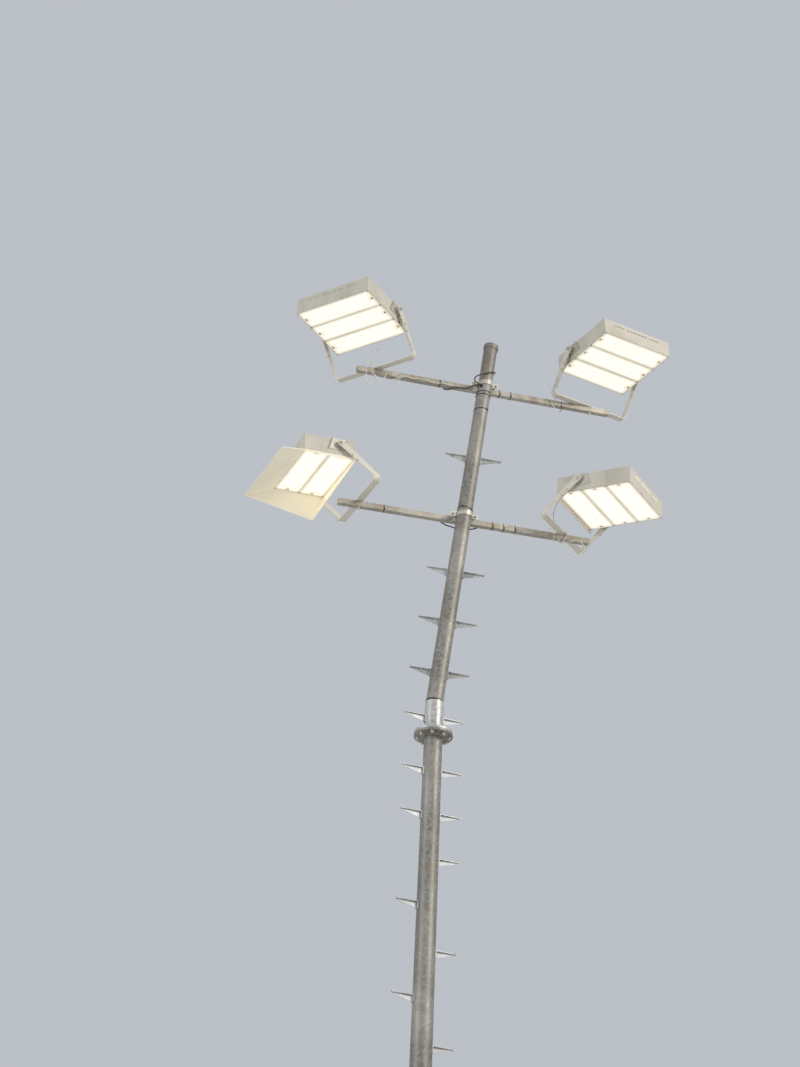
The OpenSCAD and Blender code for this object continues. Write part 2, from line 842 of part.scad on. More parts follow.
// Outline of a lit window: round corners, and a notch for the screw tab at each end
module window_outline(grow) {
    x = module_len / 2 - rim_w + grow;
    y = module_w / 2 - rim_w + grow;
    notch_w = tab_w - 2 * grow;
    difference() {
        union() {
            square([2 * x, 2 * (y - window_r)], center = true);
            square([2 * (x - window_r), 2 * y], center = true);
            for (i = [-1, 1], j = [-1, 1])
                translate([i * (x - window_r), j * (y - window_r)])
                    circle(r = window_r, $fn = bolt_fn);
        }
        for (i = [-1, 1]) {
            translate([i * (x - tab_d / 2 + notch_w / 4 + grow), 0])
                square([tab_d - notch_w / 2, notch_w], center = true);
            translate([i * (x - tab_d + notch_w / 2 + grow), 0])
                circle(d = notch_w, $fn = bolt_fn);
        }
    }
}

// Cast module bodies: a base with upright fins, and a rim round the lit window
module heat_sinks(lamp) {
    base_len = housing_len - 2 * housing_t;
    fin_z = lens_t + sink_base;
    fin_h = housing_h - fin_z - 14;
    fin_w = module_w - 12;
    at_modules(lamp) {
        translate([0, 0, lens_t + sink_base / 2])
            cube([base_len, module_w, sink_base], center = true);
        for (k = [0 : fin_n - 1])
            translate([-module_len / 2 + k * (module_len - fin_t) / (fin_n - 1), -fin_w / 2, fin_z])
                cube([fin_t, fin_w, fin_h]);
        linear_extrude(lens_t)
            difference() {
                square([module_len, module_w], center = true);
                window_outline(fit);
            }
    }
}

module led_panels(lamp) {
    at_modules(lamp) linear_extrude(lens_t) window_outline(0);
}

// Protractor plate with a folded lip along each slanted side
module protractor() {
    plate_t = 4;
    shear = 30;
    left = -60;
    right = 54;
    half = plate_h / 2;
    rotate([90, 0, 90])
        linear_extrude(plate_t)
            difference() {
                polygon([[left, half], [right, half], [right + shear, -half], [left + shear, -half]]);
                circle(d = tilt_bolt_d, $fn = bolt_fn);
            }
    for (y = [left, right - plate_t])
        rotate([90, 0, 90])
            linear_extrude(plate_lip + plate_t)
                polygon([
                    [y, half], [y + plate_t, half],
                    [y + plate_t + shear, -half], [y + shear, -half]
                ]);
}

// Tilt bolt, spacer, washer, nut and protractor plate on each end, and one cable gland
module pivots(lamp, lead_side) {
    washer_t = 3;
    nut_h = tilt_bolt_d * 0.8;
    outside = yoke_gap + yoke_t + fit;
    for (s = [0, 1])
        mirror([s, 0, 0])
            translate([housing_len / 2, 0, 0]) {
                protractor();
                rotate([0, 90, 0]) {
                    translate([0, 0, -housing_t - 2])
                        cylinder(d = tilt_bolt_d - 0.4, h = outside + washer_t + nut_h + 8,
                            $fn = bolt_fn);
                    translate([0, 0, 4])
                        cylinder(d = 2.5 * tilt_bolt_d, h = yoke_gap - 4 - fit, $fn = round_fn);
                    translate([0, 0, outside])
                        cylinder(d = 2.8 * tilt_bolt_d, h = washer_t, $fn = round_fn);
                    translate([0, 0, outside + washer_t]) hex(1.8 * tilt_bolt_d, nut_h);
                }
            }
    rotate([-lamp[2][1] - leg_lean(lamp), 0, 0])
        translate([lead_side * gland_x, 0, -gland_r[1]]) {
            cylinder(d1 = lead_d + 4, d2 = gland_d, h = 16, $fn = bolt_fn);
            translate([0, 0, 16]) cylinder(d = gland_d, h = gland_r[1] - gland_r[0] - 16, $fn = bolt_fn);
        }
}

// Flared spill hood: deep on the yoke side, long and shallow on the outer side
module hood_block(y_in, y_out, inset, grow) {
    x0 = module_len / 2 + 3 - inset;
    x1 = x0 + hood_in_flare;
    x2 = x0 + hood_flare;
    zt = -axis_h + grow;
    polyhedron(
        points = [
            [-x0, y_in + inset, zt], [x0, y_in + inset, zt],
            [x0, y_out - inset, zt], [-x0, y_out - inset, zt],
            [-x1, y_in + inset, -axis_h - hood_in_h - grow],
            [x1, y_in + inset, -axis_h - hood_in_h - grow],
            [x2, y_out + hood_reach - inset, -axis_h - hood_out_h - grow],
            [-x2, y_out + hood_reach - inset, -axis_h - hood_out_h - grow]
        ],
        faces = [
            [3, 2, 1, 0], [4, 5, 6, 7], [5, 4, 0, 1],
            [5, 1, 2], [6, 5, 2], [7, 6, 2, 3], [7, 3, 0], [4, 7, 0]
        ]
    );
}

module hood(lamp) {
    y_in = -axis_in(lamp);
    y_out = y_in + lamp_depth(lamp);
    difference() {
        hood_block(y_in, y_out, 0, 0);
        hood_block(y_in, y_out, housing_t, 1);
    }
}

module upper_left_yoke() {
    color(lamp_grey) yoke_frame(upper_left) yoke(upper_left);
}

module upper_left_lead() {
    color(lead_white) yoke_frame(upper_left) lead(upper_left_lead_side, upper_left_lead_route);
}

module upper_left_housing() {
    color(lamp_grey) lamp_frame(upper_left) housing(upper_left);
}

module upper_left_heat_sinks() {
    color(fin_grey) lamp_frame(upper_left) heat_sinks(upper_left);
}

module upper_left_led_panels() {
    color(led_white) lamp_frame(upper_left) led_panels(upper_left);
}

module upper_left_pivots() {
    color(bolt_grey) lamp_frame(upper_left) pivots(upper_left, upper_left_lead_side);
}

module upper_right_yoke() {
    color(lamp_grey) yoke_frame(upper_right) yoke(upper_right);
}

module upper_right_lead() {
    color(lead_white) yoke_frame(upper_right) lead(upper_right_lead_side, upper_right_lead_route);
}

module upper_right_housing() {
    color(lamp_grey) lamp_frame(upper_right) housing(upper_right);
}

module upper_right_heat_sinks() {
    color(fin_grey) lamp_frame(upper_right) heat_sinks(upper_right);
}

module upper_right_led_panels() {
    color(led_white) lamp_frame(upper_right) led_panels(upper_right);
}

module upper_right_pivots() {
    color(bolt_grey) lamp_frame(upper_right) pivots(upper_right, upper_right_lead_side);
}

module lower_left_yoke() {
    color(lamp_grey) yoke_frame(lower_left) yoke(lower_left);
}

module lower_left_housing() {
    color(lamp_grey) lamp_frame(lower_left) housing(lower_left);
}

module lower_left_heat_sinks() {
    color(fin_grey) lamp_frame(lower_left) heat_sinks(lower_left);
}

module lower_left_led_panels() {
    color(led_white) lamp_frame(lower_left) led_panels(lower_left);
}

module lower_left_pivots() {
    color(bolt_grey) lamp_frame(lower_left) pivots(lower_left, lower_left_lead_side);
}

module lower_left_hood() {
    color(lamp_grey) lamp_frame(lower_left) hood(lower_left);
}

module lower_right_yoke() {
    color(lamp_grey) yoke_frame(lower_right) yoke(lower_right);
}

module lower_right_lead() {
    color(lead_white) yoke_frame(lower_right) lead(lower_right_lead_side, lower_right_lead_route);
}

module lower_right_housing() {
    color(lamp_grey)
        lamp_frame(lower_right) {
            housing(lower_right);
            spill_lip(lower_right);
        }
}

module lower_right_heat_sinks() {
    color(fin_grey) lamp_frame(lower_right) heat_sinks(lower_right);
}

module lower_right_led_panels() {
    color(led_white) lamp_frame(lower_right) led_panels(lower_right);
}

module lower_right_pivots() {
    color(bolt_grey) lamp_frame(lower_right) pivots(lower_right, lower_right_lead_side);
}

base_plate();
base_gussets();
lower_mast();
service_door();
lower_flange();
upper_flange();
flange_bolts();
socket_sleeve();
head_tube();
head_cap();
upper_arm();
lower_arm();
upper_arm_clamp();
lower_arm_clamp();
swivel_bolts();
upper_cables();
lower_cables();
lower_steps_right();
lower_steps_left();
head_steps_right();
head_steps_left();
upper_left_yoke();
upper_left_lead();
upper_left_housing();
upper_left_heat_sinks();
upper_left_led_panels();
upper_left_pivots();
upper_right_yoke();
upper_right_lead();
upper_right_housing();
upper_right_heat_sinks();
upper_right_led_panels();
upper_right_pivots();
lower_left_yoke();
lower_left_housing();
lower_left_heat_sinks();
lower_left_led_panels();
lower_left_pivots();
lower_left_hood();
lower_right_yoke();
lower_right_lead();
lower_right_housing();
lower_right_heat_sinks();
lower_right_led_panels();
lower_right_pivots();
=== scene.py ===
import json
import math

import bmesh
import bpy
import numpy as np
from mathutils import Matrix, Vector


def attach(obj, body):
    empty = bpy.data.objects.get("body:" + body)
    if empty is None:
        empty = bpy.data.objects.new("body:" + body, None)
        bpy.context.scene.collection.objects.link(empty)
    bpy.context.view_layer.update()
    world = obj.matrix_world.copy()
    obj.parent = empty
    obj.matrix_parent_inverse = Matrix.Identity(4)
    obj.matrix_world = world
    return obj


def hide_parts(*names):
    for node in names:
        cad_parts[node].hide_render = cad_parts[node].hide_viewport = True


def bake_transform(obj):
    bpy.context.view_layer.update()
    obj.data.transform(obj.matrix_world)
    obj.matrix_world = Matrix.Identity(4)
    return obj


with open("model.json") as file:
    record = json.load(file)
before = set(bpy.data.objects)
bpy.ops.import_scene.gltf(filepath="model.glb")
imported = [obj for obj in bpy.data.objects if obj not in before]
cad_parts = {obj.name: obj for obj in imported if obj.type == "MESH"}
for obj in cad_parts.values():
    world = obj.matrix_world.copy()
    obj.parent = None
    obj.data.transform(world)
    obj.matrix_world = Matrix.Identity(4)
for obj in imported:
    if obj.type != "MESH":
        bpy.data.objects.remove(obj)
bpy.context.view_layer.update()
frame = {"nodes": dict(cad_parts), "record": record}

nodes = frame["nodes"]


def mm(rows):  # points that are written in millimetres
    return np.array(rows) / 1000


# Camera: where it stands, what it looks at and how long its lens is
cameraSet = {
    "azimuth": -17.33,       # degrees, seen from the side the steps face
    "elevation": -29.95,     # degrees, from below
    "roll": 2.716,           # degrees
    "distance": 17.9933,     # metres to the target
    "target": (-0.2988, 0.0, 10.3854),
    "focalPixels": 2600.0,   # focal length in pixels of the 800 wide picture
    "pictureWidth": 800.0,
}


def makeCamera(c):
    a, e, r = (math.radians(c[k]) for k in ("azimuth", "elevation", "roll"))
    back = Vector((math.sin(a) * math.cos(e), -math.cos(a) * math.cos(e), math.sin(e)))
    right = Vector((math.cos(a), math.sin(a), 0))
    up = back.cross(right)
    turnedRight = math.cos(r) * right + math.sin(r) * up
    turnedUp = -math.sin(r) * right + math.cos(r) * up
    data = bpy.data.cameras.new("camera")
    data.sensor_fit = "HORIZONTAL"
    data.sensor_width = 36.0
    data.lens = c["focalPixels"] / c["pictureWidth"] * data.sensor_width
    data.clip_end = 200.0
    camera = bpy.data.objects.new("camera", data)
    spot = Vector(c["target"]) + back * c["distance"]
    camera.matrix_world = Matrix.Translation(spot) @ Matrix(
        (turnedRight, turnedUp, back)).transposed().to_4x4()
    bpy.context.collection.objects.link(camera)
    bpy.context.scene.camera = camera


makeCamera(cameraSet)
print("camera set")


class Val:  # one output socket, so that a sum of values is written as plain Python
    def __init__(self, paint, socket):
        self.paint = paint
        self.socket = socket

    def sums(self, operation, a, b):
        return self.paint.add("Math", {"operation": operation}, {0: a, 1: b})

    def __add__(self, other):
        return self.sums("ADD", self, other)

    def __sub__(self, other):
        return self.sums("SUBTRACT", self, other)

    def __rsub__(self, other):
        return self.sums("SUBTRACT", other, self)

    def __mul__(self, other):
        return self.sums("MULTIPLY", self, other)

    __radd__ = __add__
    __rmul__ = __mul__


class Paint:  # one material and its nodes
    def __init__(self, name):
        self.material = bpy.data.materials.new(name)
        self.material.use_nodes = True
        self.tree = self.material.node_tree
        self.tree.nodes.clear()

    # Adds a node: its settings first, then the values or links of its sockets
    def add(self, kind, settings=None, sockets=None, out=0):
        node = self.tree.nodes.new("ShaderNode" + kind)
        for key, value in (settings or {}).items():
            setattr(node, key, value)
        for key, value in (sockets or {}).items():
            if isinstance(value, Val):
                self.tree.links.new(value.socket, node.inputs[key])
            else:
                node.inputs[key].default_value = value
        return Val(self, node.outputs[out]) if len(node.outputs) else None

    def place(self, stretch=(1.0, 1.0, 1.0)):
        point = self.add("TexCoord", out=3)
        return self.add("Mapping", {}, {"Vector": point, "Scale": stretch})

    def noise(self, scale, detail=4.0, stretch=(1.0, 1.0, 1.0)):
        return self.add("TexNoise", {}, {"Vector": self.place(stretch), "Scale": scale, "Detail": detail})

    def cells(self, scale, feature="F1", out=1, stretch=(1.0, 1.0, 1.0)):
        return self.add("TexVoronoi", {"feature": feature},
                        {"Vector": self.place(stretch), "Scale": scale}, out=out)

    def span(self, value, low, high, start=0.0, end=1.0):
        return self.add("MapRange", {"interpolation_type": "SMOOTHSTEP"},
                        {0: value, 1: low, 2: high, 3: start, 4: end})

    def mix(self, factor, a, b):
        return self.add("Mix", {"data_type": "RGBA"}, {0: factor, 6: a, 7: b}, out=2)

    def bump(self, height, strength=0.3, distance=0.002):
        return self.add("Bump", {}, {"Height": height, "Strength": strength, "Distance": distance})

    def finish(self, **sockets):
        named = {key.replace("_", " "): value for key, value in sockets.items()}
        shader = self.add("BsdfPrincipled", {}, named)
        self.add("OutputMaterial", {}, {"Surface": shader})
        return self.material


def rgb(r, g, b):
    return (r, g, b, 1.0)


# Zinc-coated steel: spangle crystals, pale bloom, streaks that run down, stains and fine grain
def zinc(name, base, dark, bloom, stain, crystal=70.0, rough=0.52, metal=0.45, grime=0.6, stains=0.5):
    p = Paint(name)
    crystals = p.add("SeparateColor", {}, {0: p.cells(crystal)})
    cloudy = p.noise(2.6, 5.0)
    streaks = p.noise(22.0, 4.0, stretch=(1.0, 1.0, 0.07))
    blotches = p.noise(9.0, 6.0)
    fine = p.noise(260.0, 3.0)
    colour = p.mix(p.span(crystals, 0.05, 0.95), dark, base)
    colour = p.mix(p.span(cloudy, 0.42, 0.66) * 0.6, colour, bloom)
    colour = p.mix(p.span(streaks, 0.48, 0.7) * grime, colour, dark)
    colour = p.mix(p.span(blotches, 0.52, 0.7) * stains, colour, stain)
    colour = p.mix(p.span(fine, 0.35, 0.75) * 0.35, colour, bloom)
    roughness = rough + (crystals - 0.5) * 0.2 + (fine - 0.5) * 0.25
    grain = crystals * 0.4 + fine * 0.8
    return p.finish(Base_Color=colour, Roughness=roughness, Metallic=metal,
                    Normal=p.bump(grain, 0.3, 0.0008))


# Powder coat on sheet metal: orange peel, a film of dust and a few worn specks. A little glow
# stands for the lamp's own light on the sheet beside its lenses.
def powderCoat(name, base, dust, rough=0.45, dusty=0.6, glow=0.0):
    p = Paint(name)
    cloudy = p.noise(4.0, 5.0)
    runs = p.noise(26.0, 3.0, stretch=(1.0, 1.0, 0.12))
    peel = p.noise(420.0, 2.0)
    specks = p.noise(75.0, 2.0)
    colour = p.mix(p.span(cloudy, 0.4, 0.7) * dusty, base, dust)
    colour = p.mix(p.span(runs, 0.55, 0.75) * 0.3, colour, dust)
    colour = p.mix(p.span(specks, 0.62, 0.80) * 0.25, colour, dust)
    return p.finish(Base_Color=colour, Roughness=rough + (cloudy - 0.5) * 0.3 + (peel - 0.5) * 0.1,
                    Coat_Weight=0.12, Normal=p.bump(peel, 0.15, 0.0004),
                    Emission_Color=colour, Emission_Strength=glow)


# Lit lenses, and the lit plate between them: warm white, a little uneven
def lensPlate(name, base, glow, warm, strength):
    p = Paint(name)
    uneven = p.noise(30.0, 3.0)
    return p.finish(Base_Color=base, Roughness=0.3 + (uneven - 0.5) * 0.1,
                    Emission_Color=p.mix(p.span(uneven, 0.35, 0.7), glow, warm), Emission_Strength=strength)


# Rubber or plastic sheath, scuffed and dusty
def sheath(name, base, dusty, rough=0.5):
    p = Paint(name)
    worn = p.noise(28.0, 4.0)
    scuffs = p.noise(240.0, 2.0, stretch=(1.0, 1.0, 0.3))
    colour = p.mix(p.span(worn, 0.42, 0.75) * 0.8, base, dusty)
    return p.finish(Base_Color=colour, Roughness=rough + (worn - 0.5) * 0.25,
                    Normal=p.bump(scuffs, 0.12, 0.0004))


finishes = {
    "galvanised_mast": zinc("mastZinc", rgb(0.31, 0.30, 0.27), rgb(0.17, 0.165, 0.15),
                            rgb(0.45, 0.44, 0.40), rgb(0.23, 0.19, 0.145)),
    "bright_zinc": zinc("brightZinc", rgb(0.52, 0.53, 0.53), rgb(0.33, 0.34, 0.35),
                        rgb(0.66, 0.66, 0.65), rgb(0.40, 0.37, 0.32), crystal=55.0, rough=0.44,
                        grime=0.25, stains=0.3),
    "galvanised_arms": zinc("armZinc", rgb(0.46, 0.43, 0.37), rgb(0.28, 0.26, 0.22),
                            rgb(0.58, 0.55, 0.48), rgb(0.30, 0.23, 0.16), stains=0.65),
    "zinc_bolts": zinc("boltZinc", rgb(0.61, 0.585, 0.52), rgb(0.48, 0.455, 0.40), rgb(0.68, 0.65, 0.58),
                       rgb(0.44, 0.36, 0.27), crystal=160.0, rough=0.45, metal=0.5, grime=0.2, stains=0.25),
    "yoke_steel": powderCoat("yokeCoat", rgb(0.72, 0.69, 0.60), rgb(0.52, 0.48, 0.39), dusty=0.45),
    "lamp_housing": powderCoat("housingCoat", rgb(0.64, 0.605, 0.52), rgb(0.47, 0.43, 0.35)),
    "heat_sink": zinc("sinkAluminium", rgb(0.50, 0.48, 0.44), rgb(0.36, 0.34, 0.30), rgb(0.58, 0.55, 0.48),
                      rgb(0.34, 0.30, 0.24), crystal=400.0, rough=0.45, metal=0.6, grime=0.1, stains=0.3),
    "led_panel": lensPlate("lensPlate", rgb(0.75, 0.68, 0.52), rgb(1.0, 0.93, 0.78), rgb(1.0, 0.86, 0.62), 0.55),
    "black_cable": sheath("blackRubber", rgb(0.018, 0.018, 0.02), rgb(0.075, 0.07, 0.062)),
    "pale_cable": sheath("palePlastic", rgb(0.66, 0.64, 0.57), rgb(0.45, 0.41, 0.34), 0.42),
}
for part in frame["record"]["subparts"]:
    node = nodes[part["node"]]
    node.data.materials.clear()
    node.data.materials.append(finishes[part["material_slot"]])
print("materials on", len(nodes), "nodes")


# Four-cornered faces between the neighbouring rows and columns of a grid of points
def gridFaces(rows, columns):
    row, column = np.meshgrid(np.arange(rows - 1), np.arange(columns), indexing="ij")
    here = row * columns + column
    beside = row * columns + (column + 1) % columns
    return np.stack([here, beside, beside + columns, here + columns], -1).reshape(-1, 4)


# Joins grids of points, each one ringed round its columns, to one mesh. A piece given one body's name rides on that
# body; any other piece stays fixed where it is.
# A stack of grids of one shape has a fourth dimension.
def makePiece(name, surfaces, body, slot, finish=None, replaced=(), sharp=35.0):
    points, faces, count = [], [], 0
    for surface in surfaces:
        stack = surface if surface.ndim == 4 else surface[None]
        number, rows, columns = stack.shape[:3]
        grid = gridFaces(rows, columns)
        starts = count + np.arange(number) * rows * columns
        points.append(stack.reshape(-1, 3))
        faces.append((grid[None] + starts[:, None, None]).reshape(-1, 4))
        count += number * rows * columns
    points, faces = np.concatenate(points), np.concatenate(faces)
    mesh = bpy.data.meshes.new(name)
    mesh.vertices.add(len(points))
    mesh.vertices.foreach_set("co", points.astype(np.float32).ravel())
    mesh.loops.add(faces.size)
    mesh.loops.foreach_set("vertex_index", faces.astype(np.int32).ravel())
    mesh.polygons.add(len(faces))
    mesh.polygons.foreach_set("loop_start", np.arange(0, faces.size, 4, dtype=np.int32))
    mesh.update(calc_edges=True)
    shell = bmesh.new()
    shell.from_mesh(mesh)
    bmesh.ops.remove_doubles(shell, verts=shell.verts, dist=2e-6)
    bmesh.ops.recalc_face_normals(shell, faces=shell.faces)
    shell.to_mesh(mesh)
    shell.free()
    mesh.shade_smooth()
    mesh.set_sharp_from_angle(angle=math.radians(sharp))
    mesh.materials.append(finish or finishes[slot])
    piece = bpy.data.objects.new(name, mesh)
    bpy.context.collection.objects.link(piece)
    if isinstance(body, str):
        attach(piece, body)
    else:
        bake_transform(piece)
    if replaced:
        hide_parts(*replaced)


def shift(x, y, z):
    m = np.eye(4)
    m[:3, 3] = (x, y, z)
    return m


# A turn about one axis, 0 for X, 1 for Y and 2 for Z, by the right-hand rule
def turn(axis, degrees):
    c, s = math.cos(math.radians(degrees)), math.sin(math.radians(degrees))
    i, j = (axis + 1) % 3, (axis + 2) % 3
    m = np.eye(4)
    m[i, i], m[i, j], m[j, i], m[j, j] = c, -s, s, c
    return m


def put(place, points):
    return np.asarray(points, float) @ place[:3, :3].T + place[:3, 3]


def putAll(place, shapes):
    return [put(place, shape) for shape in shapes]


# Copies of a grid at many places, as one stack
def copies(grid, places):
    places = np.array(places)
    return np.einsum("nij,rcj->nrci", places[:, :3, :3], grid) + places[:, None, None, :3, 3]


# A smooth path through the points of a route: on each span a cubic that leaves and arrives
# with the slopes that the neighbouring points give, by distance along the route
def smoothPath(route, perSpan=6):
    route = np.asarray(route, float)
    along = np.concatenate([[0.0], np.cumsum(np.linalg.norm(np.diff(route, axis=0), axis=1))])
    slope = np.gradient(route, along, axis=0)
    step = np.diff(along)[:, None, None]
    t = np.linspace(0.0, 1.0, perSpan, endpoint=False)[None, :, None]
    a, b = route[:-1, None], route[1:, None]
    m, n = slope[:-1, None] * step, slope[1:, None] * step
    path = a * (2 * t**3 - 3 * t**2 + 1) + m * (t**3 - 2 * t**2 + t) + b * (3 * t**2 - 2 * t**3) + n * (t**3 - t**2)
    return np.concatenate([path.reshape(-1, 3), route[-1:]])


def headings(path):
    forward = np.gradient(path, axis=0)
    return forward / np.linalg.norm(forward, axis=1)[:, None]


def ringHeadings(path):  # for a closed path, whose last point is its first
    return headings(np.concatenate([path[-2:-1], path, path[1:2]]))[1:-1]


# One side direction for each point of a path, carried along so that it never twists
def carried(forward, first=(0.31, 0.17, 0.94)):
    side, rows = np.asarray(first, float), []
    for f in forward:
        side = side - f * (side @ f)
        side = side / np.linalg.norm(side)
        rows.append(side)
    return np.array(rows)


def closedEnds(rings):
    first, last = rings[:1].mean(1, keepdims=True), rings[-1:].mean(1, keepdims=True)
    count = rings.shape[1]
    return np.concatenate([first.repeat(count, 1), rings, last.repeat(count, 1)])


# A tube: each ring is the path's point plus radius times (cos a of the side, sin a of the other side)
def tube(path, radius, sides=12):
    forward = headings(path)
    side = carried(forward)
    other = np.cross(forward, side)
    a = np.linspace(0, 2 * np.pi, sides, endpoint=False)[None, :, None]
    radius = np.broadcast_to(radius, len(path))[:, None, None]
    return closedEnds(path[:, None] + radius * (np.cos(a) * side[:, None] + np.sin(a) * other[:, None]))


# A cord along a route that is given in some frame
def cord(place, route, radius, sides=12):
    return tube(put(place, smoothPath(route)), radius, sides)


# A flat strap along a path: width across, thickness square to it
def strap(path, across, width, thick, ringed=False):
    forward = ringHeadings(path) if ringed else headings(path)
    across = np.broadcast_to(np.asarray(across, float), path.shape)
    side = across - forward * np.sum(across * forward, 1, keepdims=True)
    side = side / np.linalg.norm(side, axis=1)[:, None]
    over = np.cross(forward, side)
    corner = np.array([(-1, -1), (-0.8, -1), (0.8, -1), (1, -1), (1, 1), (0.8, 1), (-0.8, 1), (-1, 1)])
    edge = np.array([0.4, 1, 1, 0.4, 0.4, 1, 1, 0.4])
    grid = (path[:, None] + corner[None, :, :1] * side[:, None] * width / 2
            + (corner[:, 1] * edge)[None, :, None] * over[:, None] * thick / 2)
    return np.concatenate([grid, grid[:1]])[: len(grid)] if ringed else closedEnds(grid)


# The line of a tight band round several round bars: for each direction, the point of the bar
# that reaches farthest that way, moved out by the gap
def wrapLoop(bars, gap, count=48):
    a = np.linspace(0, 2 * np.pi, count + 1)
    normal = np.stack([np.cos(a), np.sin(a)], 1)
    bars = np.asarray(bars, float)
    reach = normal @ bars[:, :2].T + bars[:, 2]
    best = bars[np.argmax(reach, 1)]
    return best[:, :2] + (best[:, 2:] + gap) * normal


# A turned shape: each profile point (radius, height) goes round the local Z axis
def turned(profile, sides=16):
    profile = np.asarray(profile, float)
    a = np.linspace(0, 2 * np.pi, sides, endpoint=False)
    r, z = profile[:, :1], profile[:, 1:]
    return np.stack([r * np.cos(a), r * np.sin(a), z + 0 * a], -1)


# A block with rounded sides: sines and cosines of two angles, each raised to a small power
def roundBlock(size, power=0.3, rings=8, sides=16):
    u = np.linspace(-np.pi / 2, np.pi / 2, rings)[:, None]
    v = np.linspace(0, 2 * np.pi, sides, endpoint=False)[None]
    lift = lambda w: np.sign(np.round(w, 9)) * np.abs(w) ** power
    half = np.asarray(size) / 2
    return np.stack([half[0] * lift(np.cos(u)) * lift(np.cos(v)), half[1] * lift(np.cos(u)) * lift(np.sin(v)),
                     half[2] * lift(np.sin(u)) + 0 * v], -1)


# A screw thread: the radius dips once for each pitch of height, and the dip climbs round the bar
def thread(radius, pitch, length, depth, sides=16, perPitch=6, runOut=0.6):
    z = np.linspace(0, length, max(8, int(perPitch * length / pitch)))[:, None]
    a = np.linspace(0, 2 * np.pi, sides, endpoint=False)[None]
    wave = np.abs((z / pitch - a / (2 * np.pi)) % 1.0 * 2 - 1)
    fade = np.clip(np.minimum(z, length - z) / (runOut * pitch), 0, 1)
    r = radius - depth * (1 - wave * fade)
    return closedEnds(np.stack([r * np.cos(a), r * np.sin(a), z + 0 * a], -1))


# Sizes that the scene shares with the CAD model, in metres and degrees
mastLayout = {
    "base": 0.025, "flange": 8.885, "kink": 9.137, "lean": 6.35, "rise": 2.7,
    "footRadius": 0.099, "topRadius": 0.062, "headFoot": 0.0595, "headTop": 0.0495, "headLength": 2.98,
    "armHeights": (1.505, 2.637), "armHalf": 0.020, "armY": 0.08245, "legLength": 0.357,
    "legLean": (47.7, 34.3), "moduleLength": 0.580, "modulePitch": 0.184, "moduleWidth": 0.180,
    "faceDrop": 0.085, "wall": 0.002, "endGap": 0.003, "axisShare": 0.305, "boltCircle": 0.106, "yokeFoot": 0.0203,
}
lamps = {   # place along the arm, arm level, heading, tilt and modules
    "upper_left": (-0.812, 1, -138.9, 4.2, 3),
    "upper_right": (0.849, 1, -74.6, 3.9, 3),
    "lower_left": (-0.753, 0, -175.0, -1.9, 2),
    "lower_right": (0.784, 0, -46.2, -4.9, 3),
}


def headFrame():
    return shift(0, 0, mastLayout["kink"]) @ turn(1, mastLayout["lean"])


def armFrame(level):
    h, lean = mastLayout["armHeights"][level], math.radians(mastLayout["lean"])
    return shift(h * math.sin(lean), 0, mastLayout["kink"] + h * math.cos(lean)) @ turn(1, -mastLayout["rise"])


def yokeFrame(lamp):
    reach, level, heading = lamps[lamp][:3]
    return armFrame(level) @ shift(reach, mastLayout["armY"], mastLayout["yokeFoot"]) @ turn(2, heading - 90)


def legFrame(lamp):  # the yoke's frame, leaned so that Z runs up its legs
    return yokeFrame(lamp) @ turn(0, -mastLayout["legLean"][lamps[lamp][1]])


def lampFrame(lamp):
    level, tilt = lamps[lamp][1], lamps[lamp][3]
    return legFrame(lamp) @ shift(0, 0, mastLayout["legLength"]) @ turn(0, mastLayout["legLean"][level] + tilt)


def headRadius(h):
    m = mastLayout
    return m["headFoot"] - (m["headFoot"] - m["headTop"]) * h / m["headLength"]


def moduleRows(lamp):  # the middle of each module across the lamp
    m, number = mastLayout, lamps[lamp][4]
    depth = number * m["modulePitch"] + 2 * m["wall"]
    return -m["axisShare"] * depth + m["wall"] + (np.arange(number) + 0.5) * m["modulePitch"]


def lampEdges(lamp):  # the two sides of the modules
    rows, half = moduleRows(lamp), mastLayout["modulePitch"] / 2
    return rows[0] - half, rows[-1] + half


# Supply cables in black rubber, along the CAD routes in each arm's frame
lowerHalf = [(6, 30, -60), (6, 62, -60), (12, 88, -58), (28, 106, -50), (54, 114, -38),
             (90, 115, -32), (124, 112, -20), (152, 108.5, -4), (190, 107.5, 8)]
cableSet = {
    "radius": 0.0045, "sides": 14,
    "upper": [
        mm([(-26, -22, -39), (-50, -42, -39), (-72, -46, -38), (-92, -34, -36), (-104, -12, -34), (-112, 14, -32),
            (-124, 36, -29), (-146, 52, -23), (-176, 55, -22), (-206, 57, -29), (-230, 76, -30), (-250, 96, -29),
            (-268, 109, -24), (-288, 110, -8), (-312, 108.5, 4), (-350, 107.5, 8), (-760, 107.5, 8)]),
        mm([(-26, -22, -29), (-50, -42, -29), (-72, -50, -27), (-92, -52, -16), (-98, -54, 4), (-88, -54, 24),
            (-66, -52, 42), (-44, -50, 54), (-24, -50, 63), (12, -60, 75), (49, -49, 92), (74, -20, 108),
            (77, 16, 118), (62, 48, 120), (66, 70, 108), (86, 88, 82), (104, 98, 56), (118, 107, 36), (130, 112, 20),
            (150, 109, 10), (180, 107.5, 8), (800, 107.5, 8)])],
    "lower": [mm([(-x, y, z) for x, y, z in lowerHalf] + [(-700, 107.5, 8)]), mm(lowerHalf + [(730, 107.5, 8)])],
}


def makeCables(c):
    for level, name in enumerate(("lower", "upper")):
        cords = [cord(armFrame(level), route, c["radius"], c["sides"]) for route in c[name]]
        makePiece(name + "CablesSmooth", cords, "mast", "black_cable", replaced=[name + "_cables"])


makeCables(cableSet)
print("supply cables")
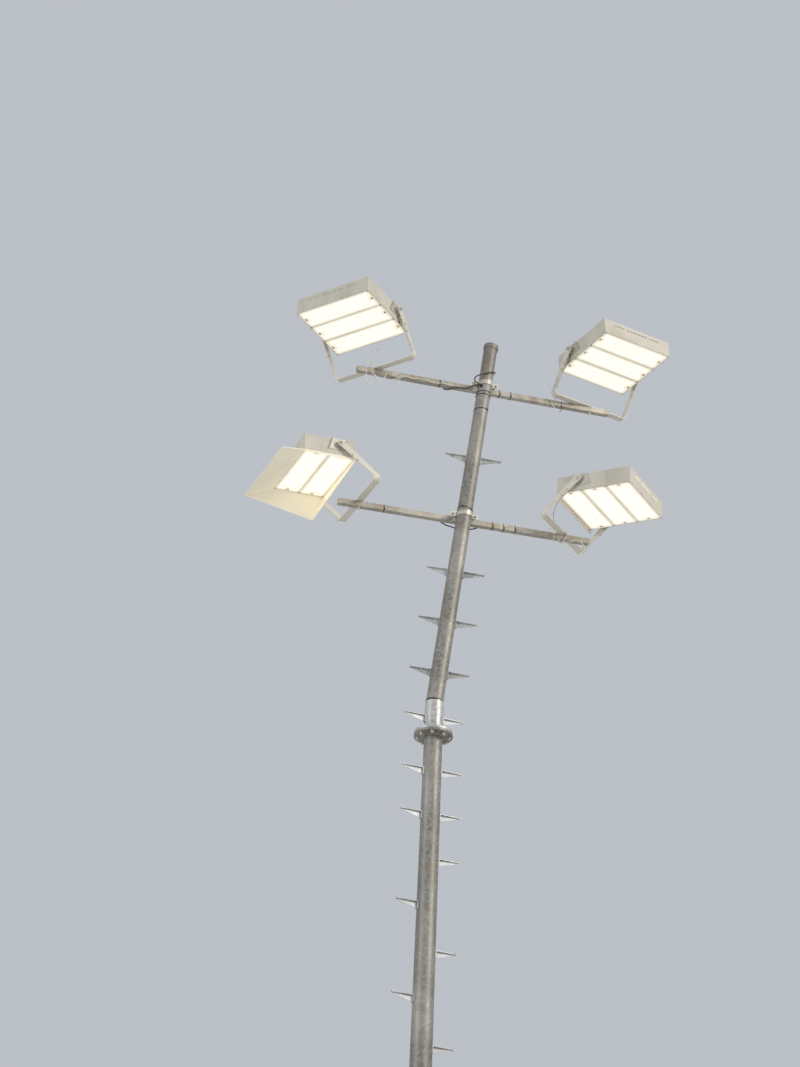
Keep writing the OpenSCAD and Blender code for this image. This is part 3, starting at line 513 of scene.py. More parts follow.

# Lamp leads in pale plastic: from the gland down a leg and along the yoke's foot, in its frame.
leadSet = {
    "radius": 0.004,
    "tied": mm([(305, 131, 193), (309, 116, 172), (315, 98, 148), (318, 80, 124), (318, 50, 88), (318, 26, 62),
                (317, 10, 40), (310, 4, 20), (296, 2, 11.5), (270, 0, 10.5), (60, 0, 10.5)]),
    "loose": mm([(305, 169, 154), (308, 146, 132), (311, 124, 113), (311, 107, 98), (305, 90, 83), (293, 72, 68),
                 (274, 52, 52), (250, 36, 38), (216, 22, 27), (180, 12, 18), (140, 4, 11.5), (110, 0, 10.5),
                 (60, 0, 10.5)]),
    # side of the yoke, route, and the point of it where the leg holds the lead
    "lamps": {"upper_left": (-1, "tied", 4), "upper_right": (1, "tied", 4), "lower_right": (1, "loose", 3)},
}


def makeLeads(c):
    for lamp, (side, kind, heldAt) in c["lamps"].items():
        route, place = c[kind] * (side, 1, 1), yokeFrame(lamp)
        held, gland = put(place, route[heldAt]), put(place, route[0])
        makePiece(lamp + "LeadSmooth", [cord(place, route, c["radius"])],
                  (lamp + "_bracket", lamp + "_lamp", held, gland), "pale_cable", replaced=[lamp + "_lead"])


makeLeads(leadSet)

# The slack between a supply cable's joint sleeve and the lamp lead, over the swivel, in the arm's
# frame. The lower left cable ends in a capped sleeve and has none.
slackSet = {
    "radius": 0.0038,
    "upper_left": mm([(-760, 107.5, 8), (-772, 108.2, 10), (-781, 107, 20), (-782, 99, 34), (-775, 84, 42),
                      (-768, 66, 41), (-768, 50, 36), (-772.6, 37.2, 30.8)]),
    "upper_right": mm([(800, 107.5, 8), (815, 108, 11), (825, 107, 22), (824, 100, 35), (815, 88, 43), (807, 77, 41),
                       (800, 70, 35), (791.2, 66.5, 30.8)]),
    "lower_right": mm([(792, 46, 4), (793, 45, 18), (786, 49, 31), (772, 53, 37), (757, 52.5, 35),
                       (740.7, 40.9, 30.8)]),
}


def makeSlack(c):
    for lamp in ("upper_left", "upper_right", "lower_right"):
        path = put(armFrame(lamps[lamp][1]), smoothPath(c[lamp]))
        held, lead = path[len(path) // 6], path[-2]   # a point a sixth of the way along the path, and the last point but one
        makePiece(lamp + "Slack", [tube(path, c["radius"])], ("mast", lamp + "_bracket", held, lead), "pale_cable")


makeSlack(slackSet)
print("lamp leads")


# A ribbed joint sleeve along local X, with two hexagon nuts. Its radius is a share of the full
# one that rises with the size of sin(count pi x / length), and tapers over its last rings.
sleeveSet = {"rings": 41, "sides": 20, "ribCount": 9, "groove": 0.86, "rib": 0.1, "taper": (0.45, 0.72, 0.95),
             "nutLength": 0.012, "nutFace": 1.05, "nutFull": 1.15, "chamfer": 0.002, "nutSpots": (-0.36, 0.28)}


def jointSleeve(length, radius, c=sleeveSet):
    x = np.linspace(-length / 2, length / 2, c["rings"])
    ribs = radius * (c["groove"] + c["rib"] * np.abs(np.sin(c["ribCount"] * np.pi * (x / length + 0.5))))
    ribs[:3] *= c["taper"]
    ribs[-3:] *= c["taper"][::-1]
    barrel = tube(np.stack([x, 0 * x, 0 * x], 1), ribs, c["sides"])
    long, slope, wide, full = c["nutLength"], c["chamfer"], c["nutFace"] * radius, c["nutFull"] * radius
    nutShape = turned([(0, 0), (wide, 0), (full, slope), (full, long - slope), (wide, long), (0, long)], 6)
    nuts = [put(shift(spot, 0, 0) @ turn(1, 90), nutShape) for spot in (length * share for share in c["nutSpots"])]
    return [barrel] + nuts


# Joint sleeves on the arms, the hanging loop and the loose strand, in each arm's frame
looseSet = {
    "sleeves": [(1, -0.745, 0.075, 0.0072), (1, 0.785, 0.075, 0.0072), (0, 0.715, 0.075, 0.0072),
                (0, -0.690, 0.090, 0.0085)],   # level, place along the arm, length, radius
    "behind": (0.1085, 0.008),   # the sleeves' place in the arm's YZ plane
    "coil": mm([(735, 108.5, 6), (752, 111, -4), (768, 105, -26), (785, 85, -34), (815, 64, -32), (856, 55, -22),
                (900, 54, -24), (926, 54, -56), (922, 54, -92), (896, 53, -124), (850, 52, -147), (808, 53, -142),
                (778, 54, -112), (764, 53, -76), (768, 50, -40), (782, 47, -14), (792, 46, 4)]),
    "strand": mm([(-176, 57.5, -12), (-206, 57.5, -10), (-250, 57.5, -14), (-300, 57.8, -9), (-340, 58, -16),
                  (-402, 57.5, -15), (-450, 58, -6), (-493, 57.5, -8), (-545, 56, -16), (-592, 54, -10),
                  (-622, 56, -22), (-645, 66, -29), (-672, 88, -29), (-700, 108, -20), (-722, 117, -4),
                  (-740, 117, 8), (-756, 112, 10)]),
    "radius": 0.0036,
}


def makeLoose(c):
    for index, (level, x, length, radius) in enumerate(c["sleeves"]):
        place = armFrame(level) @ shift(x, *c["behind"])
        makePiece("cableJoint%d" % index, putAll(place, jointSleeve(length, radius)), "mast", "black_cable")
    for name, level, route in (("hangingLoop", 0, c["coil"]), ("armStrand", 1, c["strand"])):
        makePiece(name, [cord(armFrame(level), route, c["radius"])], "mast", "pale_cable")


makeLoose(looseSet)

# Two-part connector on the foot of each upper yoke
connectorSet = {"length": 0.15, "radius": 0.0095, "footTop": 0.006,
                "middle": {"upper_left": -0.175, "upper_right": 0.19}}


def makeConnectors(c):
    sleeve, up = jointSleeve(c["length"], c["radius"]), c["footTop"] + c["radius"] * sleeveSet["nutFull"]
    for lamp, middle in c["middle"].items():
        place = yokeFrame(lamp) @ shift(middle, 0, up)
        makePiece(lamp + "Connector", putAll(place, sleeve), lamp + "_bracket", "pale_cable")


makeConnectors(connectorSet)
print("joints and connectors")


# A cable tie: a band round some bars, its head and a cut tail. The bars are circles in the
# local YZ plane, the head sits at an angle from Y, and the tail leaves it along a short path.
tieHead = {"wider": 1.5, "length": 0.0075, "height": 0.0048, "lift": 0.0015, "tailWidth": 0.9, "tailThick": 0.8}


def cableTie(bars, headAngle, tail, width=0.0060, thick=0.0013, gap=0.0004):
    loop = wrapLoop(bars, gap + thick / 2)
    path = np.stack([0 * loop[:, 0], loop[:, 0], loop[:, 1]], 1)
    band = strap(path, (1, 0, 0), width, thick, ringed=True)
    a = math.radians(headAngle)
    out = np.array([math.cos(a), math.sin(a)])
    bars = np.asarray(bars, float)
    best = bars[np.argmax(bars[:, :2] @ out + bars[:, 2])]
    spot = best[:2] + (best[2] + gap + thick) * out
    lift = tieHead["lift"]
    place = shift(0, spot[0] + lift * out[0], spot[1] + lift * out[1]) @ turn(0, headAngle - 90)
    head = put(place, roundBlock((width * tieHead["wider"], tieHead["length"], tieHead["height"])))
    path = np.concatenate([[(0, 0, 0)], tail]) + (0, spot[0], spot[1])
    tail = strap(smoothPath(path), (1, 0, 0.05), width * tieHead["tailWidth"], thick * tieHead["tailThick"])
    return [band, head, tail]


armHalf, armY, armEdge = mastLayout["armHalf"], mastLayout["armY"], 0.001
armCorners = [(armY + i * (armHalf - armEdge), j * (armHalf - armEdge), armEdge) for i in (-1, 1) for j in (-1, 1)]
backCable = [(0.1075, 0.008, 0.0045)]
looseTail = mm([(2, -12, 4), (6, -24, -4), (12, -30, -20)])
cutTail = mm([(1, -4, 4), (3, -9, 12)])
tieSet = {   # level, place along the arm, what it goes round beside the arm, angle of its head, tail
    "black": [(1, 0.137, backCable, 200, cutTail), (1, 0.224, backCable, 205, cutTail),
              (1, -0.321, backCable, 190, cutTail), (0, 0.237, backCable, 205, cutTail),
              (0, 0.320, backCable, 205, cutTail), (0, 0.407, backCable, 205, cutTail),
              (0, -0.571, backCable, 195, cutTail),
              (1, 0.620, [], 250, mm([(4, -10, -12), (-4, -14, -36), (-20, -12, -60)]))],
    "pale": [(1, -0.655, [], 255, mm([(12, -8, -20), (18, -6, -50), (4, -4, -78), (-14, -4, -70)])),
             (1, -0.880, [], 262, mm([(-8, -4, -40), (2, -4, -82), (26, -2, -100), (50, 0, -78)])),
             (1, 0.510, backCable, 150, mm([(10, -6, 0), (26, -8, -24), (44, -8, -60), (70, -6, -98)])),
             (0, 0.700, [], 195, mm([(12, -10, 6), (30, -10, -10), (45, -6, -24)])),
             (1, -0.838, [], 200, mm([(14, -6, -20), (38, -8, -50), (64, -8, -72), (82, -8, -46), (106, -8, 0)]))],
    "thin": {0.700, -0.838, 0.620, -0.655, -0.880},   # these pass under a yoke's foot
    "buckles": [(0, 0.237), (0, 0.320), (0, 0.407)],  # pale heads on top of the arm
    "buckleSize": (0.0085, 0.013, 0.0066), "buckleSpot": (armY - 0.002, armHalf + 0.0042),
    "buckleTail": mm([(0, 0, 0), (1, -8, 4), (3, -14, 10)]), "buckleStrap": (0.0048, 0.0013),
    "thinSize": {"thick": 0.00018, "gap": 0.00003},
}


def makeArmTies(c):
    for colour, slot in (("black", "black_cable"), ("pale", "pale_cable")):
        parts = []
        for level, x, extra, headAngle, tail in c[colour]:
            size = c["thinSize"] if x in c["thin"] else {}
            parts += putAll(armFrame(level) @ shift(x, 0, 0), cableTie(armCorners + extra, headAngle, tail, **size))
        if colour == "pale":
            buckle = [roundBlock(c["buckleSize"]), strap(smoothPath(c["buckleTail"]), (1, 0, 0), *c["buckleStrap"])]
            for level, x in c["buckles"]:
                parts += putAll(armFrame(level) @ shift(x, *c["buckleSpot"]), buckle)
        makePiece(colour + "ArmTies", parts, "mast", slot)


makeArmTies(tieSet)

# Bands round the head tube, some of them tilted
bandSet = {
    "gap": 0.0006, "headWider": 1.3, "headLength": 0.010, "headHeight": 0.006,
    # height over the kink, tilt, width, thickness, angle of the head
    "rows": [(2.557, -7, 0.0060, 0.0016, 205), (2.530, -3, 0.0060, 0.0016, 160), (2.405, -8, 0.0060, 0.0016, -50),
             (1.550, 4, 0.0060, 0.0016, 230), (0.006, 0, 0.0110, 0.0020, 30)],
}


def makeBands(c):
    parts, a = [], np.linspace(0, 2 * np.pi, 65)
    for height, tilt, width, thick, headAngle in c["rows"]:
        radius, stretch = headRadius(height), 1 / math.cos(math.radians(tilt))
        reach = radius + c["gap"] + thick / 2
        path = np.stack([reach * stretch * np.cos(a), reach * np.sin(a), 0 * a], 1)
        place = headFrame() @ shift(0, 0, height) @ turn(1, tilt)
        parts.append(put(place, strap(path, (0, 0, 1), width, thick, ringed=True)))
        spot = turn(2, headAngle) @ shift(radius + thick + c["headHeight"] / 2, 0, 0) @ turn(1, 90)
        parts.append(put(place @ spot, roundBlock((width * c["headWider"], c["headLength"], c["headHeight"]))))
    makePiece("tubeBands", parts, "mast", "black_cable")


makeBands(bandSet)

# Ties that hold each lead on its yoke leg and foot, in the yoke's frame
legTieSet = {
    # side of the yoke, places up the leg, and place along the foot
    "lamps": {"upper_left": (-1, (0.070, 0.105), 0.272), "upper_right": (1, (0.070, 0.105), 0.272),
              "lower_right": (1, (), 0.125)},
    "legX": 0.326, "footZ": 0.003, "barHalf": (0.024, 0.0022, 0.0008),   # middles of leg and foot, corners of both
    "leadRadius": 0.004, "leadOff": 0.008, "leadOver": 0.0075,   # the lead's middle from the leg's and the foot's
    "legHead": 40, "footHead": 120, "footSize": {"thick": 0.00025, "gap": 0.00002}, "tailSize": (0.0085, 0.0018),
    "longTail": mm([(14, 26, 9), (14, 34, 22), (4, 40, 50), (-10, 42, 80), (-26, 44, 112), (-36, 45, 128),
                    (-52, 46, 131), (-68, 46, 128)]),
}


def makeLegTies(c):
    x, y, edge = c["barHalf"]
    flat = [(i * x, j * y, edge) for i in (-1, 1) for j in (-1, 1)]
    onFoot = flat + [(0.0, c["leadOver"], c["leadRadius"])]
    for lamp, (side, upLeg, alongFoot) in c["lamps"].items():
        parts, onLeg = [], flat + [(0.0, c["leadOff"] * side, c["leadRadius"])]
        for along in upLeg:
            place = legFrame(lamp) @ shift(side * c["legX"], 0, along) @ turn(1, -90)
            parts += putAll(place, cableTie(onLeg, 90 * side + c["legHead"], cutTail))
        place = yokeFrame(lamp) @ shift(side * alongFoot, 0, c["footZ"])
        parts += putAll(place, cableTie(onFoot, c["footHead"], looseTail, **c["footSize"]))
        if lamp == "upper_left":   # a long tail that stands up from the foot, with a bent tip
            parts.append(put(yokeFrame(lamp), strap(smoothPath(c["longTail"]), (1, 0.3, 0), *c["tailSize"])))
        makePiece(lamp + "LeadTies", parts, lamp + "_bracket", "pale_cable")


makeLegTies(legTieSet)
print("ties and bands")

# Lenses over the diodes of each module: low domes in rows, lit from behind
lensSet = {"radius": 0.0088, "height": 0.003, "along": (23, 0.0232), "across": (6, 0.023896),   # numbers and pitches
           "sides": 10, "sink": 0.0004, "tabFrom": 0.25, "tabHalf": 0.02,   # no lenses over the two screw tabs
           "white": rgb(1.0, 0.985, 0.94), "warm": rgb(1.0, 0.955, 0.85), "strength": 1.0}


def makeLenses(c):
    r, h = c["radius"], c["height"]
    dome = turned([(0, -c["sink"]), (r, -c["sink"]), (r, c["sink"]), (0.9 * r, 0.5 * h), (0.66 * r, 0.82 * h),
                   (0.34 * r, 0.97 * h), (0, h)], c["sides"])
    lit = lensPlate("litLens", rgb(0.85, 0.82, 0.74), c["white"], c["warm"], c["strength"])
    x, y = ((np.arange(number) - (number - 1) / 2) * pitch for number, pitch in (c["along"], c["across"]))
    spots = [(sx, sy) for sx in x for sy in y if abs(sx) <= c["tabFrom"] or abs(sy) >= c["tabHalf"]]
    for lamp in lamps:
        place = lampFrame(lamp)
        places = [place @ shift(sx, row + sy, -mastLayout["faceDrop"]) @ turn(0, 180)
                  for row in moduleRows(lamp) for sx, sy in spots]
        makePiece(lamp + "Lenses", [copies(dome, places)], lamp + "_lamp", "led_panel", finish=lit)


makeLenses(lensSet)
print("lenses")

# Pale rim frame round each module's window: a flat strap along a rounded rectangle, whose corners
# are the corner's middle plus radius times (cos a, sin a) over a quarter turn each
rimSet = {"width": 0.0115, "thick": 0.0012, "corner": 0.012, "inset": 0.0062, "colour": rgb(0.80, 0.765, 0.66),
          "dust": rgb(0.62, 0.58, 0.48)}


def roundedLoop(halfX, halfY, corner, perCorner=7):
    a = np.linspace(0, np.pi / 2, perCorner)
    quarters = [np.stack([sx * (halfX - corner) + corner * np.cos(a + q),
                          sy * (halfY - corner) + corner * np.sin(a + q)], 1)
                for q, sx, sy in ((0, 1, 1), (np.pi / 2, -1, 1), (np.pi, -1, -1), (3 * np.pi / 2, 1, -1))]
    loop = np.concatenate(quarters)
    return np.concatenate([loop, loop[:1]])


def makeRims(c):
    m = mastLayout
    halfX, halfY = m["moduleLength"] / 2 - c["inset"], m["moduleWidth"] / 2 - c["inset"]
    loop = roundedLoop(halfX, halfY, c["corner"])
    path = np.concatenate([loop, 0 * loop[:, :1]], 1)
    across = np.cross(ringHeadings(path), (0, 0, 1))
    frameShape = strap(path, across, c["width"], c["thick"], ringed=True)
    # The rims glow a little: painted light from the lenses beside them, on top of the cream powder coat
    creamAndLampGlow = powderCoat("rimCoat", c["colour"], c["dust"], dusty=0.4, glow=0.45)
    for lamp in lamps:
        places = [lampFrame(lamp) @ shift(0, row, -m["faceDrop"]) for row in moduleRows(lamp)]
        makePiece(lamp + "Rims", [copies(frameShape, places)], lamp + "_lamp", "lamp_housing", finish=creamAndLampGlow)


makeRims(rimSet)

# Seal strips in the gaps between the modules and round them, a little below the face
sealSet = {"below": 0.0835, "thick": 0.001, "between": 0.0036, "side": 0.0016, "end": 0.0026,   # drop and widths
           "sideGap": 0.001, "endGap": 0.0015, "short": 0.0005,   # middles of the gaps, and what the ends leave
           "colour": rgb(0.52, 0.42, 0.28), "dust": rgb(0.40, 0.31, 0.20)}


def makeSeals(c):
    m = mastLayout
    halfX, endX, z = m["moduleLength"] / 2, m["moduleLength"] / 2 + c["endGap"], -c["below"]
    # The seals glow: painted light from the lenses that shines over them, on top of the brown coat
    brownAndLampGlow = powderCoat("sealCoat", c["colour"], c["dust"], dusty=0.4, glow=0.5)
    for lamp in lamps:
        low, high = lampEdges(lamp)
        gaps = [(y, c["between"]) for y in moduleRows(lamp)[:-1] + m["modulePitch"] / 2]
        gaps += [(y, c["side"]) for y in (low + c["sideGap"], high - c["sideGap"])]
        bars = [(np.array([(-halfX, y, z), (halfX, y, z)]), (0, 1, 0), width) for y, width in gaps]
        bars += [(np.array([(x, low + c["short"], z), (x, high - c["short"], z)]), (1, 0, 0), c["end"])
                 for x in (-endX, endX)]
        strips = [put(lampFrame(lamp), strap(line, across, width, c["thick"])) for line, across, width in bars]
        makePiece(lamp + "Seals", strips, lamp + "_lamp", "lamp_housing", finish=brownAndLampGlow)


makeSeals(sealSet)

# Light that shows in the slots of the lower right lamp's outer wall: strips just behind them
slotSet = {"lamp": "lower_right", "height": 0.006, "tall": 0.007, "thick": 0.0008, "inside": 0.001, "strength": 0.8,
           "spots": ((-0.1593, 0.090), (0.0, 0.186), (0.1593, 0.090))}   # middle and length of each strip


def makeSlotLight(c):
    y = lampEdges(c["lamp"])[1] - c["inside"]
    lines = [np.array([(x - size / 2, y, c["height"]), (x + size / 2, y, c["height"])]) for x, size in c["spots"]]
    glow = lensPlate("slotGlow", rgb(0.8, 0.76, 0.66), rgb(1.0, 0.96, 0.86), rgb(1.0, 0.90, 0.72), c["strength"])
    strips = [put(lampFrame(c["lamp"]), strap(line, (0, 0, 1), c["tall"], c["thick"])) for line in lines]
    makePiece(c["lamp"] + "SlotLight", strips, c["lamp"] + "_lamp", "led_panel", finish=glow)


makeSlotLight(slotSet)

# Folded spill hood of the lower left lamp, in its frame: a shallow outer wall, a deep far end and
# an inner wall that runs out to nothing at the near end. Each wall is a sheet between two edges:
# the point at shares u and v is the bilinear mean of its four corners, bowed by sin(pi u) sin(pi v).
hoodSet = {
    "lamp": "lower_left", "thick": 0.002, "bow": 0.0015, "rimRadius": 0.0022,
    "outer": (0.356, 0.451, -0.143), "outerNear": (-0.356, 0.451, -0.143),
    "inner": (0.308, -0.034, -0.278), "innerNear": (-0.300, -0.1125, -0.108),
    "faceX": 0.294, "faceY": (-0.1125, 0.2575), "faceZ": -0.0851,
    "nearFold": (-0.296, 0.2575, -0.0991), "rimStart": (-0.296, 0.2575, -0.0951),
    "colour": rgb(0.88, 0.82, 0.66), "dust": rgb(0.68, 0.61, 0.46),
}


def sheet(corners, thick, bow, count=25):
    c0, c1, c2, c3 = (np.asarray(c, float)[None, None] for c in corners)
    u = np.linspace(0, 1, count)[:, None, None]
    v = np.linspace(0, 1, count)[None, :, None]
    middle = (1 - u) * ((1 - v) * c0 + v * c1) + u * ((1 - v) * c3 + v * c2)
    normal = np.cross((c1 - c0 + c2 - c3)[0, 0], (c3 - c0 + c2 - c1)[0, 0])
    normal = normal / np.linalg.norm(normal)
    middle = middle + bow * np.sin(np.pi * u) * np.sin(np.pi * v) * normal
    return closedEnds(np.concatenate([middle + normal * thick / 2, middle[:, ::-1] - normal * thick / 2], 1))


def makeHood(c):
    y0, y1, z, x = c["faceY"][0], c["faceY"][1], c["faceZ"], c["faceX"]
    walls = [sheet(w, c["thick"], c["bow"]) for w in (
        ((x, y1, z), (-x, y1, z), c["outerNear"], c["outer"]),
        ((x, y0, z), (x, y1, z), c["outer"], c["inner"]),
        ((-x, y0, z), (x, y0, z), c["inner"], c["innerNear"]),
        ((-x, y0, z), (-x, y1, z), c["nearFold"], c["innerNear"]))]
    rim = [c[k] for k in ("rimStart", "outerNear", "outer", "inner", "innerNear")]
    edges = [tube(np.linspace(start, end, 9), c["rimRadius"], 8) for start, end in zip(rim[:-1], rim[1:])]
    # A faint glow on the hood: painted light from the lamp's own lenses, on top of the cream powder coat
    creamAndLampGlow = powderCoat("hoodCoat", c["colour"], c["dust"], dusty=0.35, glow=0.15)
    makePiece("lowerLeftHoodFolded", putAll(lampFrame(c["lamp"]), walls + edges), c["lamp"] + "_lamp",
              "lamp_housing", finish=creamAndLampGlow, replaced=["lower_left_hood"])


makeHood(hoodSet)
print("rims and hood")

# Pan-head screws with a hexagon socket, on the rims, the screw tabs and the housing's walls
screwSet = {"radius": 0.0042, "height": 0.0026, "sunk": 0.0003, "sides": 12, "edge": 0.0062, "tabInset": 0.0175,
            "wallHeight": -0.075, "wallApart": 0.06, "longWall": (-0.24, -0.08, 0.08, 0.24)}


def makeScrews(c):
    r, h = c["radius"], c["height"]
    panHead = turned([(0, 0.4 * h), (0.38 * r, 0.4 * h), (0.44 * r, 0.95 * h), (0.62 * r, h), (0.86 * r, 0.8 * h),
                      (r, 0.35 * h), (r, -c["sunk"]), (0, -c["sunk"])], c["sides"])
    m = mastLayout
    halfLength, halfWidth = m["moduleLength"] / 2, m["moduleWidth"] / 2
    wallX = halfLength + m["endGap"] + m["wall"]
    for lamp in lamps:
        place, places = lampFrame(lamp), []
        for row in moduleRows(lamp):
            for sx in (-1, 1):
                for sy in (-1, 0, 1):
                    inset = c["tabInset"] if sy == 0 else c["edge"]
                    places.append(place @ shift(sx * (halfLength - inset), row + sy * (halfWidth - c["edge"]),
                                                -m["faceDrop"]) @ turn(0, 180))
                    if sy:
                        places.append(place @ shift(sx * wallX, row + sy * c["wallApart"], c["wallHeight"])
                                      @ turn(1, 90 * sx))
        low, high = lampEdges(lamp)
        for y, tip in ((low - m["wall"], 90), (high + m["wall"], -90)):
            for x in c["longWall"]:
                places.append(place @ shift(x, y, c["wallHeight"]) @ turn(0, tip))
        makePiece(lamp + "Screws", [copies(panHead, places)], lamp + "_lamp", "zinc_bolts")


makeScrews(screwSet)

# Hexagon bolts with washers: two lock bolts on each yoke leg
boltSet = {"lockPlaces": (0.195, 0.245), "across": 0.0075, "head": 0.0053, "washer": 0.0085, "washerThick": 0.0016,
           "outsideX": 0.329, "insideX": 0.323, "thread": (0.0041, 0.00125, 0.011, 0.0006)}


def hexBolt(c):
    across, head, washer, low = c["across"], c["head"], c["washer"], c["washerThick"]
    disc = turned([(0, 0), (washer, 0), (washer, low), (0, low)], 20)
    crown = turned([(0, low), (across, low), (across, low + 0.8 * head), (0.86 * across, low + head),
                    (0, low + head)], 6)
    return [disc, crown]


def makeLockBolts(c):
    for lamp in lamps:
        outside, inside = [], []
        for side in (-1, 1):
            for along in c["lockPlaces"]:
                outside.append(legFrame(lamp) @ shift(side * c["outsideX"], 0, along) @ turn(1, 90 * side))
                inside.append(legFrame(lamp) @ shift(side * c["insideX"], 0, along) @ turn(1, -90 * side))
        parts = [copies(shape, outside + inside) for shape in hexBolt(c)] + [copies(thread(*c["thread"]), inside)]
        makePiece(lamp + "LockBolts", parts, lamp + "_bracket", "zinc_bolts")


makeLockBolts(boltSet)

# Two key locks on the service door
doorSet = {"heights": (0.7, 0.9), "front": -0.1, "ring": 0.011, "depth": 0.003, "sunk": 0.004}


def makeDoorLocks(c):
    r, d = c["ring"], c["depth"]
    body = turned([(0, -c["sunk"]), (r, -c["sunk"]), (r, 0.6 * d), (0.9 * r, d), (0.58 * r, d),
                   (0.54 * r, 0.35 * d), (0, 0.35 * d)], 28)
    key = turned([(0, 0.3 * d), (0.34 * r, 0.3 * d), (0.34 * r, 0.9 * d), (0, 0.9 * d)], 3)
    places = [shift(0, c["front"], z) @ turn(0, 90) for z in c["heights"]]
    makePiece("doorLocks", [copies(body, places), copies(key, places)], "mast", "zinc_bolts")


makeDoorLocks(doorSet)

# Threads on the ends of the clamp studs and the flange bolts: radius, pitch and depth of each
threadSet = {"stud": (0.00625, 0.00175, 0.0004), "flange": (0.00825, 0.0020, 0.0004), "sides": 20,
             "studX": 0.082, "frontLength": 0.0078, "frontY": -0.0176, "backLength": 0.0118, "behindArm": 0.0121,
             "tipLength": 0.0058, "tipDrop": 0.0128, "flangeBolts": 8}


def makeThreads(c):
    radius, pitch, depth = c["stud"]
    front = thread(radius, pitch, c["frontLength"], depth, c["sides"])
    behind = thread(radius, pitch, c["backLength"], depth, c["sides"])
    fronts, backs = [], []
    for level in (0, 1):
        for side in (-1, 1):
            studs = armFrame(level) @ shift(side * c["studX"], 0, 0)
            fronts.append(studs @ shift(0, c["frontY"], 0) @ turn(0, 90))
            backs.append(studs @ shift(0, armY + armHalf + c["behindArm"], 0) @ turn(0, -90))
    makePiece("studThreads", [copies(front, fronts), copies(behind, backs)], "mast", "zinc_bolts")
    radius, pitch, depth = c["flange"]
    tips = thread(radius, pitch, c["tipLength"], depth, c["sides"])
    angles = 360 / c["flangeBolts"] * (np.arange(c["flangeBolts"]) + 0.5)
    height = mastLayout["flange"] - c["tipDrop"]
    places = [turn(2, a) @ shift(mastLayout["boltCircle"], 0, height) @ turn(0, 180) for a in angles]
    makePiece("flangeThreads", [copies(tips, places)], "mast", "zinc_bolts")


makeThreads(threadSet)
print("screws, bolts and threads")

# Weld beads: a fillet round the tube that rises and falls a little with every ripple, and slowly
# over its seven swells
beadSet = {
    "sunk": 0.0006, "rippleArc": 0.0016, "ripple": 0.10, "swells": 7, "swell": 0.06, "waist": 0.55, "around": 361,
    # radius, height, leg, +1 where it lies on top of the plate and -1 under it
    "rows": [(0.0990, 0.025, 0.008, 1), (0.0620, 8.885, 0.006, -1), (0.0638, 8.917, 0.006, 1)],
}


def weldRing(c, radius, height, leg, side):
    a = np.linspace(0, 2 * np.pi, c["around"])
    waves = c["ripple"] * np.sin(round(radius / c["rippleArc"]) * a) + c["swell"] * np.sin(c["swells"] * a)
    fillet, sunk, waist = leg * (1 + waves), 0 * a - c["sunk"], c["waist"] * leg * (1 + waves)
    profile = [(sunk, sunk), (fillet, sunk), (waist, waist), (sunk, fillet)]
    r = np.stack([radius + p[0] for p in profile], 1)
    z = np.stack([height + side * p[1] for p in profile], 1)
    return np.stack([r * np.cos(a)[:, None], r * np.sin(a)[:, None], z], -1)


makePiece("weldBeads", [weldRing(beadSet, *row) for row in beadSet["rows"]], "mast", "galvanised_mast", sharp=60.0)

# The long seam of each rolled tube: a low ridge down its back, along the taper. Its section is
# (across, lift) in shares of width and rise, and both grow and shrink a little on the way up.
seamSet = {
    "width": 0.007, "rise": 0.0009, "mastAngle": 112.0, "headAngle": 98.0, "headShare": 0.8,
    "headStart": 0.004, "capCover": 0.03, "rings": 241, "waves": ((0.06, 90), (0.04, 233)),
    "section": ((-0.5, -0.4), (-0.25, 0.75), (0.0, 1.0), (0.25, 0.75), (0.5, -0.4), (0.0, -0.9)),
}


def seam(c, foot, top, start, end, angle, share=1.0):
    t = np.linspace(0, 1, c["rings"])[:, None]
    radius, z, (across, lift) = foot + (top - foot) * t, start + (end - start) * t, np.transpose(c["section"])
    grown = share * (1 + sum(size * np.sin(t * turns) for size, turns in c["waves"]))
    r = radius + c["rise"] * lift * grown
    a = math.radians(angle) + across * c["width"] * grown / radius
    return closedEnds(np.stack([r * np.cos(a), r * np.sin(a), z + 0 * a], -1))


def makeSeams(c):
    m = mastLayout
    lower = seam(c, m["footRadius"], m["topRadius"], m["base"], m["flange"], c["mastAngle"])
    upper = seam(c, m["headFoot"], m["headTop"], c["headStart"], m["headLength"] - c["capCover"], c["headAngle"],
                 c["headShare"])
    makePiece("tubeSeams", [lower, put(headFrame(), upper)], "mast", "galvanised_mast")


makeSeams(seamSet)
print("welds and seams")

# Degree marks on each protractor plate: short raised lines in an arc under the pivot
scaleSet = {"from": -60, "to": 60, "step": 5, "longStep": 15, "radius": 0.0375, "short": 0.0035, "long": 0.0060,
            "width": 0.0008, "thick": 0.0006, "plate": 0.004}


def makeScales(c):
    m = mastLayout
    plateX = m["moduleLength"] / 2 + m["endGap"] + m["wall"] + c["plate"]
    ink = sheath("scaleInk", rgb(0.22, 0.21, 0.19), rgb(0.32, 0.30, 0.26))
    for lamp in lamps:
        parts = []
        for side in (-1, 1):
            for angle in range(c["from"], c["to"] + 1, c["step"]):
                length = c["long"] if angle % c["longStep"] == 0 else c["short"]
                line = np.array([(0, 0, c["radius"]), (0, 0, c["radius"] + length)])
                mark = strap(line, (0, 1, 0), c["width"], c["thick"])
                parts.append(put(lampFrame(lamp) @ shift(side * plateX, 0, 0) @ turn(0, angle), mark))
        makePiece(lamp + "Scale", [np.stack(parts)], lamp + "_lamp", "zinc_bolts", finish=ink)


makeScales(scaleSet)
print("protractor scales")

# Floor, sky and studio lamps
studioSet = {
    "floorSize": 60.0, "floorDrop": 0.002,
    "floorColour": rgb(0.78, 0.78, 0.77),
    "skyColour": rgb(0.50, 0.53, 0.57),
    "fill": 0.5,
}


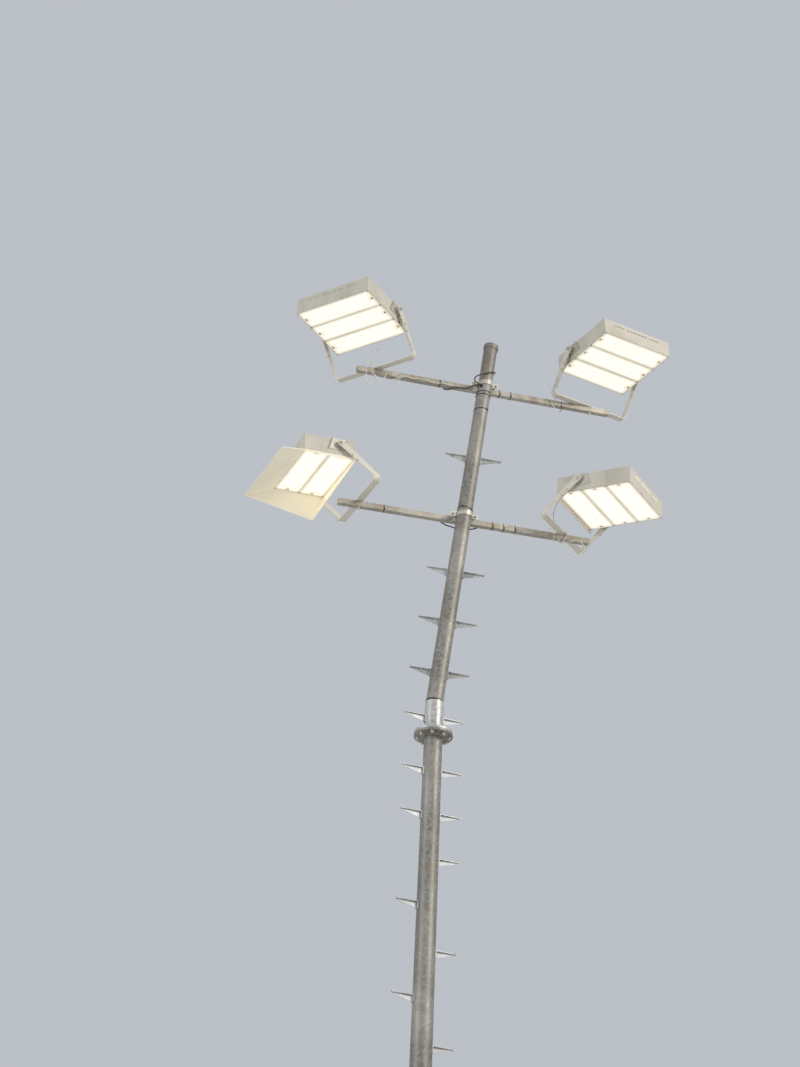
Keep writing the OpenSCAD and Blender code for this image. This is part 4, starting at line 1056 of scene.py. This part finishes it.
def makeStudio(s):
    half = s["floorSize"] / 2
    mesh = bpy.data.meshes.new("floor")
    mesh.from_pydata([(-half, -half, 0), (half, -half, 0), (half, half, 0), (-half, half, 0)], [], [(0, 1, 2, 3)])
    floor = bpy.data.objects.new("floor", mesh)
    floor.location.z = -s["floorDrop"]
    bpy.context.collection.objects.link(floor)
    p = Paint("floorPlain")
    floor.data.materials.append(p.finish(Base_Color=s["floorColour"], Roughness=0.8))
    world = bpy.data.worlds.new("studio")
    bpy.context.scene.world = world
    world.use_nodes = True
    tree = world.node_tree
    tree.nodes.clear()
    path, both, out = (tree.nodes.new("ShaderNode" + kind) for kind in ("LightPath", "MixShader", "OutputWorld"))
    tree.links.new(path.outputs["Is Camera Ray"], both.inputs[0])
    # the light that falls on things, and the sky that the camera sees
    for socket, colour, strength in ((1, rgb(1.0, 1.0, 1.0), s["fill"]), (2, s["skyColour"], 1.0)):
        light = tree.nodes.new("ShaderNodeBackground")
        light.inputs["Color"].default_value = colour
        light.inputs["Strength"].default_value = strength
        tree.links.new(light.outputs[0], both.inputs[socket])
    tree.links.new(both.outputs[0], out.inputs["Surface"])


def softLamp(name, spot, aim, size, power, colour):
    data = bpy.data.lights.new(name, "AREA")
    data.shape = "DISK"
    data.size = size
    data.energy = power
    data.color = colour
    lamp = bpy.data.objects.new(name, data)
    lamp.location = spot
    lamp.rotation_euler = (Vector(aim) - Vector(spot)).to_track_quat("-Z", "Y").to_euler()
    bpy.context.collection.objects.link(lamp)


lampSet = {   # where each soft lamp stands, what it points at, its size, power and colour
    "keyLamp": ((9.0, -12.0, 16.0), (0.0, 0.0, 10.0), 6.0, 1300.0, (1.0, 0.96, 0.9)),
    "sideLamp": ((-12.0, -4.0, 11.0), (0.0, 0.0, 9.0), 6.0, 450.0, (0.9, 0.95, 1.0)),
    "backLamp": ((4.0, 14.0, 14.0), (0.0, 0.0, 9.0), 6.0, 600.0, (1.0, 1.0, 1.0)),
}
makeStudio(studioSet)
for name, values in lampSet.items():
    softLamp(name, *values)
bpy.context.scene.view_settings.view_transform = "Standard"
print("studio set")
